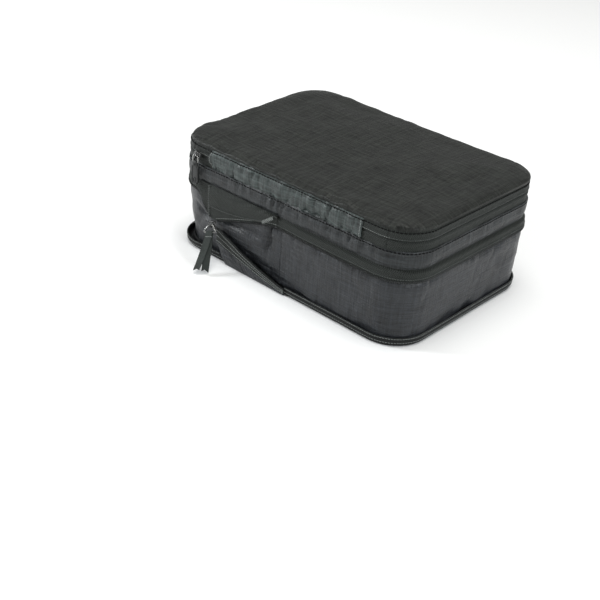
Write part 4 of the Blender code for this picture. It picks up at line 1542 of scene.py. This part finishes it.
def handle_half(name, sign, foot):
    """Half of the webbing: its bow, and the foot sewn to the short side."""
    y = np.concatenate([np.linspace(0, HANDLE_SPAN, 46), np.linspace(HANDLE_SPAN, HANDLE_END, 14)[1:]]) * sign
    across = np.linspace(-1, 1, 13)
    middle, half = (HANDLE_LOW.z + HANDLE_HIGH.z) / 2, (HANDLE_HIGH.z - HANDLE_LOW.z) / 2
    near = handle_bow(y)
    path = np.stack([-HALF_X - near, y], -1)
    along = np.gradient(path, axis=0)
    along /= np.linalg.norm(along, axis=1, keepdims=True)
    normal = np.stack([-np.abs(along[:, 1]), along[:, 0] * np.sign(along[:, 1])], -1)
    half_thick = 0.0007
    rounded = np.sqrt(np.clip(1 - np.abs(across) ** 6, 0, 1))
    cup = 0.0004 * (1 - across**2) * (near > 0.0005)[:, None]
    centre = path + normal * (half_thick + 0.0001)
    faces = []
    for side in (1, -1):
        depth = side * half_thick * (0.35 + 0.65 * rounded) + cup
        flat = centre[:, None] + normal[:, None] * depth[..., None]
        faces.append(points_at(flat[..., 0], flat[..., 1], middle + across * half))
    uv = np.stack(np.meshgrid(run_along(path), across * half, indexing="ij"), -1)
    outer, inner, uv = (grid[:, ::-sign] for grid in (*faces, uv))
    made = shell(name, outer, inner, uv, WEBBING)
    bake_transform(made)
    stands_for(("grab_handle", foot))


def foot_stitches(name, sign):
    """A sewn box with a cross in it on a foot of the handle."""
    y0, y1 = sign * (HANDLE_SPAN + 0.0012), sign * (HANDLE_END - 0.0012)
    z0, z1 = HANDLE_LOW.z + 0.0016, HANDLE_HIGH.z - 0.0016
    corners = [(y0, z0), (y1, z0), (y1, z1), (y0, z1), (y0, z0), (y1, z1), (y0, z1), (y1, z0)]
    lines = []
    for (ya, za), (yb, zb) in zip(corners, corners[1:]):
        points = points_at(-HALF_X - 0.0020, np.linspace(ya, yb, 12), np.linspace(za, zb, 12))
        lines.append((points, np.broadcast_to([-1.0, 0.0, 0.0], points.shape)))
    sewn = stitches(name, lines, PALE_THREAD, 0.00020, pitch=0.0022, length=0.0017)
    piece(sewn, "upper_frame", "thread")


def grab_handle():
    for side, sign in (("front", -1), ("back", 1)):
        handle_half("handle_half_" + side, sign, "grab_foot_" + side)
        foot_stitches("handle_stitches_" + side, sign)


# ---------------------------------------------------------------- scene


def camera():
    """The viewpoint: above the near corner, with the cube a little off the view's middle."""
    yaw, pitch, roll = math.radians(41.1), math.radians(30.81), math.radians(4.14)
    distance, aside, below = 0.86627, -0.03924, -0.03582
    back = Vector((math.sin(yaw) * math.cos(pitch), -math.cos(yaw) * math.cos(pitch), math.sin(pitch)))
    right = Vector((math.cos(yaw), math.sin(yaw), 0))
    up = back.cross(right)
    rolled_right = right * math.cos(roll) + up * math.sin(roll)
    rolled_up = up * math.cos(roll) - right * math.sin(roll)
    data = bpy.data.cameras.new("camera")
    data.lens = 60.05
    data.sensor_width = 36
    made = linked("camera", data)
    axes = Matrix((rolled_right, rolled_up, back)).transposed().to_4x4()
    place = rolled_right * aside + rolled_up * below + back * distance
    made.matrix_world = Matrix.Translation(place) @ axes
    bpy.context.scene.camera = made


def light(name, place, size, energy, color):
    data = bpy.data.lights.new(name, "AREA")
    data.shape = "RECTANGLE"
    data.size, data.size_y = size
    data.energy = energy
    data.color = color
    made = linked(name, data)
    made.location = place
    made.rotation_mode = "QUATERNION"
    made.rotation_quaternion = (-Vector(place)).to_track_quat("-Z", "Y")


def lights():
    light("overhead", (0.1, 0.1, 2.6), (1.6, 1.6), 48.0, (1.0, 1.0, 0.97))
    light("right", (1.4, -0.25, 0.70), (0.4, 0.5), 10.5, (0.93, 0.97, 1.0))
    light("left", (-1.35, -0.95, 0.75), (0.30, 0.4), 21.0, (0.95, 0.98, 1.0))
    world = bpy.data.worlds.new("studio")
    world.use_nodes = True
    background = world.node_tree.nodes["Background"]
    background.inputs["Color"].default_value = (1.0, 1.0, 1.0, 1.0)
    background.inputs["Strength"].default_value = 0.36
    bpy.context.scene.world = world
    bpy.context.scene.view_settings.view_transform = "Standard"


def floor():
    mesh = bmesh.new()
    bmesh.ops.create_grid(mesh, x_segments=2, y_segments=2, size=12.0)
    data = bpy.data.meshes.new("floor")
    mesh.to_mesh(data)
    mesh.free()
    surface = Surface("pale_floor", 0.6, specular=0.2)
    surface.inputs["Base Color"].default_value = (0.90, 0.90, 0.90, 1.0)
    data.materials.append(surface.material)
    linked("floor", data)


camera()
lights()
floor()
base()
ramp()
middle_band()
compression_tape()
zip_start()
facing()
bar_tack()
end_seam()
far_tape()
main_zip()
hinge_strip()
zip_ends()
lid_panel()
lid_seam()
compression_puller()
main_puller()
grab_handle()
